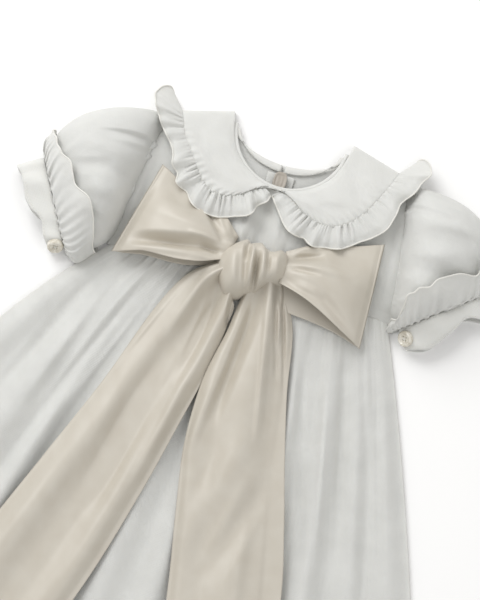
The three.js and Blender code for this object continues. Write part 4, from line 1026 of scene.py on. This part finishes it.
# The bow's loops: a sash of champagne satin 72 mm wide, doubled back on itself at each side and
# squeezed in the knot, so that pleats fan out from there and die away towards the folded ends.
# The waist bows its lower and its upper edge, and under lowers the underside near the knot.
LOOPS = {
    -1: {
        "edges": table("low_x low_y high_x high_y", (-20, 2, -17, 22), (-99.5, -13.5, -83, 57)),
        "waist": (-7, 9),
        "under": 0,
        "creases": (
            (-22, 9, -94, -3, 7.5, 6, -9.5),
            (-22, 5, -42, 6, 3, 3.5, -4),
            (-24, 11, -52, 12, 3, 4, 2.2),
            (-24, 0, -98, -9, 5, 4, 2),
            (-22, 8, -52, 46, 6, 4, -4.5),
            (-18, 16, -34, 44, 4, 4, 2),
            (-34, 12, -84, 34, 10, 14, 1.6),
            (-20, -2, -44, -6, 3, 3, -1.5),
        ),
    },
    1: {
        "edges": table("low_x low_y high_x high_y", (19, -4, 18, 21), (86, -31, 84, 46)),
        "waist": (2, 5),
        "under": 15,
        "creases": (
            (20, 16, 46, 25, 5, 4, -4.5),
            (18, 22, 48, 34, 4, 5, 2.4),
            (20, 8, 46, 9, 3, 4, -2.4),
            (20, 12, 70, 14, 5, 6, 1.6),
            (20, 0, 52, -6, 4, 5, 2),
            (44, -2, 82, -27, 5, 6, -2.2),
            (30, 30, 52, 38, 4, 4, -1.6),
        ),
    },
}
LOOP_HEIGHTS = table("top under", (27, 14.4), (31.5, 14.2), (31, 13.6), (26.5, 13.2), (17.5, 14))
LOOP_UPPER_EDGE_Z = 16
SATIN = {"float": 0.9, "float_length": 9, "cloud": 16}


def satin_finish(name, pale, deep):
    """Duchess satin: long floats of filament yarn over a dense ground. The eye sees a soft broad
    shine that runs along each fold, warm in the light and nearly brown in the depths. Its floats
    are 0.2 mm apart; they are drawn 0.9 mm apart so that they show."""
    material, shader, place = new_material(name, {"Roughness": 0.5, "Specular IOR Level": 1.0,
        "Anisotropic": 0.4, "Sheen Weight": 0.05, "Sheen Roughness": 0.4})
    stretch = add_node(material, "ShaderNodeMapping",
        {"Scale": (1 / SATIN["float"], 1 / SATIN["float_length"], 1)}, {"Vector": (place, "UV")})
    floats = add_node(material, "ShaderNodeTexNoise", {"Scale": 1.0, "Detail": 3.0},
        {"Vector": (stretch, "Vector")})
    cloud = add_node(material, "ShaderNodeTexNoise", {"Scale": 1 / SATIN["cloud"], "Detail": 2.0},
        {"Vector": (place, "UV")})
    ramp = add_node(material, "ShaderNodeValToRGB", {}, {"Fac": (cloud, "Fac")},
        {"Color": (shader, "Base Color")})
    for stop, position, tone in zip(ramp.color_ramp.elements, (0.3, 0.7), (deep, pale)):
        stop.position = position
        stop.color = linear(tone)
    fine = add_node(material, "ShaderNodeBump", {"Strength": 0.12, "Distance": 0.1 * MM},
        {"Height": (floats, "Fac")})
    add_node(material, "ShaderNodeBump", {"Strength": 0.08, "Distance": 1.5 * MM},
        {"Height": (cloud, "Fac"), "Normal": (fine, "Normal")}, {"Normal": (shader, "Normal")})
    return material


satin = satin_finish("champagne duchess satin", "#CBC5B9", "#C5BEB1")


def loop_points(run, wide, side):
    """A loop: the sash runs out from the knot over the top, folds at its end and comes back under.
    Its edges run from the knot to the end, bowed as a half sine that fades outwards, and so do its
    cosine pleats."""
    loop = LOOPS[side]
    away = np.where(run < 0.5, 2 * run, 2 - 2 * run)
    upper = run <= 0.5
    pinch = np.sin(np.pi * np.minimum(1, away * 1.4)) * (1 - away)
    low_x, low_y, high_x, high_y = (mix(knot, end, away**0.9) for knot, end in loop["edges"].values())
    low_y = low_y + loop["waist"][0] * pinch
    low_y = low_y - np.where(upper, 0, loop["under"] * bump(away - 0.12) * (1 - away))
    high_y = high_y + loop["waist"][1] * pinch
    x, y = mix(low_x, high_x, wide), mix(low_y, high_y, wide)
    top, under = section(LOOP_HEIGHTS, away).values()
    sunk = mix(top, LOOP_UPPER_EDGE_Z, ease((wide - 0.5) / 0.4))
    pleat = 1.8 * (1 - away) ** 1.6 * np.cos(2 * np.pi * (2.5 * wide + 0.15 * np.sin(6 * wide)))
    hand = creases(x, y, loop["creases"]) * ease(away / 0.1) * ease((0.97 - away) / 0.2)
    crown = np.where(upper, sunk + (pleat + hand) * ease(away / 0.12), under)
    fold = ease((away - 0.9) / 0.1)
    z = mix(crown, mix(under + 1.3, sunk - 1.3, 0.5), fold)
    return np.stack([x, y, np.maximum(z, under)], -1)


for word, side in SIDES.items():
    outward = 0.5 * np.linspace(0, 1, 70) ** 0.85
    runs = np.concatenate([outward, 1 - outward[-2::-1]])
    run, wide = grid(runs, np.linspace(0, 1, 70))
    loop = thin_shell(f"bow_loop_{word}", "satin", loop_points(run, wide, side), satin, wall=0.6,
        top=(35, 35))

# The bow's tails: the two ends of the same sash, cut on a slant, that run out from under the knot
# over the skirt's folds. The rolls are how far their left and right edges turn down.
TAILS = {
    -1: {
        "sections": table(
            "left_x left_y right_x right_y lift",
            (-18, 3, -13, -18, 11),
            (-33.5, -5.5, -7, -26, 8.5),
            (-46, -17, -7, -42, 4),
            (-60, -46, -10, -70, 1),
            (-78, -100, -19.5, -114, 0),
            (-102, -160, -31, -165, 0),
            (-127, -222, -49, -231, 0),
            (-152, -290, -75, -304, 0),
            (-176, -352, -101, -386, 0),
        ),
        "folds": table("start end reach height left", (0.26, 0.22, 0.3, 8.5, 7.5), (0.84, 0.8, 0.22, 7, 6)),
        "creases": (
            (-18, -4, -28, -92, 7, 8, -5),
            (-10, -14, -7, -44, 3.5, 3.5, -6),
            (-26, -2, -46, -66, 6, 8, 3),
            (-14, -30, -40, -170, 5, 6, 2.2),
            (-46, -44, -62, -196, 18, 14, -4.5),
            (-44, -18, -84, -112, 6, 4, 1.8),
            (-72, -110, -118, -250, 10, 14, 1.8),
            (-36, -110, -66, -260, 8, 12, 1.4),
            (-100, -180, -150, -330, 12, 8, 1.4),
        ),
        "rolls": (1.2, 2.2),
    },
    1: {
        "sections": table(
            "left_x left_y right_x right_y lift",
            (0, -8, 19, 4, 6),
            (-3.5, -22, 26, -8, 3.5),
            (-6.5, -46, 38, -32, 3.5),
            (-13, -82, 46, -76, 2),
            (-13, -126, 58, -124, 0),
            (-6, -170, 69, -164, 0),
            (4, -224, 80, -212, 0),
            (14, -296, 87, -284, 0),
            (24, -404, 94, -364, 0),
        ),
        "folds": table("start end reach height left", (0.1, 0.12, 0.2, 5, 4.5), (0.56, 0.5, 0.4, 10, 8.5)),
        "creases": (
            (10, -2, 0, -112, 6, 8, -6.5),
            (12, -2, 34, -116, 3.5, 6, 3.4),
            (17, -4, 36, -70, 3, 2.6, -3.4),
            (22, 0, 32, -60, 3, 2.5, 2),
            (23, -4, 48, -90, 2, 2, -3.2),
            (-2, -60, -12, -150, 5, 7, 2),
            (26, -104, 4, -204, 13, 14, 3.6),
            (46, -136, 28, -214, 12, 12, -4.4),
            (50, -80, 82, -250, 12, 6, -4),
            (44, -130, 64, -280, 8, 10, -1.4),
            (20, -220, 44, -360, 9, 7, 1.4),
        ),
        "rolls": (3.0, 3.6),
    },
}
TAIL_PLEATS = {"height": 1.3, "count": 3.2, "reach": 40}
TAIL_REST = 1.6


def tail_points(wide, down, side):
    """A tail: it lies on the tops of the skirt's folds, lifted near the knot, with two long folds
    of its own, pleats from the knot that fade within a hand's breadth, listed creases, and
    long edges that roll down. Where it would sink into the skirt it eases out to a rest on it."""
    tail = TAILS[side]
    at = section(tail["sections"], down)
    x, y = mix(at["left_x"], at["right_x"], wide), mix(at["left_y"], at["right_y"], wide)
    on_skirt = np.clip((WAIST_Y - y) / SKIRT_LENGTH, 0, 1)
    bed = LOWEST_FRONT + BODICE_RISE * yoke_share(on_skirt) + FOLD_TOP * fold_share(on_skirt)
    z = bed + SEAM + CLOTH + at["lift"]
    for start, end, reach, height, left in zip(*tail["folds"].values()):
        z = z + mix(height, left, ease(down / 0.5)) * bump((wide - mix(start, end, down)) / reach)
    pleat = np.cos(2 * np.pi * (TAIL_PLEATS["count"] * wide + 0.2 * np.sin(5 * wide + side)))
    z = z + TAIL_PLEATS["height"] * pleat * np.exp(-np.maximum(0, -y - 10) / TAIL_PLEATS["reach"])
    z = z + creases(x, y, tail["creases"]) * ease(down / 0.02)
    first, last = tail["rolls"]
    roll = first * (1 - ease(wide / 0.12)) ** 2 + last * (1 - ease((1 - wide) / 0.16)) ** 2
    return np.stack([x, y, lifted_over(z - roll * ease(down / 0.1), bed + TAIL_REST)], -1)


for word, side in SIDES.items():
    wide, down = grid(np.linspace(0, 1, 80), np.linspace(0, 1, 180) ** 1.2)
    tail = thin_shell(f"bow_tail_{word}", "satin", tail_points(wide, down, side), satin, wall=0.6)

# The bow's knot: the sash wrapped once round its own middle and drawn tight, so that it bulges in
# two lobes either side of a deep pleat.
KNOT = table(
    "top_x top_y bottom_x bottom_y",
    (-23.5, 11.5, -17.5, -19),
    (-18, 16, -14, -23.4),
    (-13, 19.8, -9, -23.2),
    (-9.8, 21.4, -4.5, -21.2),
    (-6.8, 19.2, -1.6, -18),
    (-3.6, 20.6, 1.4, -16.6),
    (0, 21.4, 4.4, -15.4),
    (4.4, 18.4, 7.6, -11.6),
    (9, 17.6, 11, -8),
    (15, 20.6, 16, -6.2),
    (19.4, 18.4, 21.6, -4.4),
)
KNOT_RISE = {"bottom": 13, "top": 37, "left": 6, "right": 2.4}
KNOT_CREASES = (
    (-9.5, 19, -6, 2, 4.4, 3.4, -4.6),
    (-9, 8, -2.4, -17, 3.4, 3, -2.2),
    (-5.8, 22, -0.6, -20, 3, 3, 3.4),
    (-0.6, 13, 3.8, -21, 3.4, 3, -7.5),
    (1.6, 23, 8, -14, 4, 4, 2.6),
    (5.4, 20, 10, -8, 3, 3, -2.6),
    (12, 20, 16, -6, 4, 4, 2.2),
    (-18, 12, -10, -22, 7, 5, 3),
)
share, run = grid(*((1 - np.cos(np.pi * np.linspace(0, 1, count))) / 2 for count in (120, 90)))
at = section(KNOT, share)
bulge = 4 * run * (1 - run)
x = mix(at["top_x"], at["bottom_x"], run)
x = x - KNOT_RISE["left"] * bulge * (1 - share) ** 3 + KNOT_RISE["right"] * bulge * share**3
y = mix(at["top_y"], at["bottom_y"], run)
over = np.sqrt(np.clip(1 - np.abs(2 * run - 1) ** 3, 0, 1))
over = over * np.sqrt(np.clip(1 - np.abs(2 * share - 1) ** 5, 0, 1))
z = KNOT_RISE["bottom"] + (KNOT_RISE["top"] - KNOT_RISE["bottom"]) * over
z = z + creases(x, y, KNOT_CREASES) * ease(over / 0.5)
knot = thin_shell("bow_knot", "satin", np.stack([x, y, z], -1), satin, wall=0.7,
    top=(60, 45))

# The stage: a pale floor, a broad soft light from the neck's side, and a camera that looks down on
# the front of the gown at the photograph's angle, from 0.9 m away.
FLOOR_HALF = 4.0
floor_mesh = bpy.data.meshes.new("floor")
floor_corners = [(x * FLOOR_HALF, y * FLOOR_HALF, 0) for x, y in ((-1, -1), (1, -1), (1, 1), (-1, 1))]
floor_mesh.from_pydata(floor_corners, [], [(0, 1, 2, 3)])
floor = add_object("floor", floor_mesh)
# White card: smooth and matt, with a tooth too fine to see.
card, shader, place = new_material("white card", {"Roughness": 0.9, "Specular IOR Level": 0.2})
tooth = add_node(card, "ShaderNodeTexNoise", {"Scale": 60.0, "Detail": 2.0},
    {"Vector": (place, "Object")})
ramp = add_node(card, "ShaderNodeValToRGB", {}, {"Fac": (tooth, "Fac")},
    {"Color": (shader, "Base Color")})
for stop, tone in zip(ramp.color_ramp.elements, ("#FEFEFE", "#FFFFFF")):
    stop.color = linear(tone)
floor_mesh.materials.append(card)


def area_light(name, place, target, size, power):
    """A square soft light at a place, in millimetres from the waist seam, turned to a target."""
    lamp = bpy.data.lights.new(name, "AREA")
    lamp.size = size
    lamp.energy = power
    lit = add_object(name, lamp)
    spot, aim = (Vector(np.array(p) * MM + PLACE) for p in (place, target))
    lit.location = spot
    lit.rotation_euler = (aim - spot).to_track_quat("-Z", "Y").to_euler()


area_light("window", (-950, 800, 1150), (0, -100, 0), 1.1, 16.5)
area_light("fill", (900, -700, 1500), (0, -100, 0), 1.6, 5)
world = bpy.data.worlds.new("room")
world.use_nodes = True
world.node_tree.nodes["Background"].inputs["Color"].default_value = linear("#FFFEFC")
world.node_tree.nodes["Background"].inputs["Strength"].default_value = 0.61
bpy.context.scene.world = world
bpy.context.scene.view_settings.view_transform = "Standard"

CAMERA_TILT = math.radians(10)
CAMERA_ROLL = math.radians(16)
CAMERA_AWAY = 900
CAMERA_AIM = (-3.5, -20.7, 12)
FRAME_HEIGHT = 420
aim = Vector(np.array(CAMERA_AIM) * MM + PLACE)
eye = bpy.data.cameras.new("camera")
eye.sensor_fit = "VERTICAL"
eye.sensor_height = 36
eye.lens = eye.sensor_height * CAMERA_AWAY / FRAME_HEIGHT
camera = add_object("camera", eye)
back = Vector((0, -math.sin(CAMERA_TILT), math.cos(CAMERA_TILT)))
up = Vector((-math.sin(CAMERA_ROLL), math.cos(CAMERA_ROLL), 0))
side_axis = up.cross(back).normalized()
up_axis = back.cross(side_axis).normalized()
turned = Matrix((side_axis, up_axis, back)).transposed().to_4x4()
camera.matrix_world = Matrix.Translation(aim + back * CAMERA_AWAY * MM) @ turned
bpy.context.scene.camera = camera

bpy.context.view_layer.update()
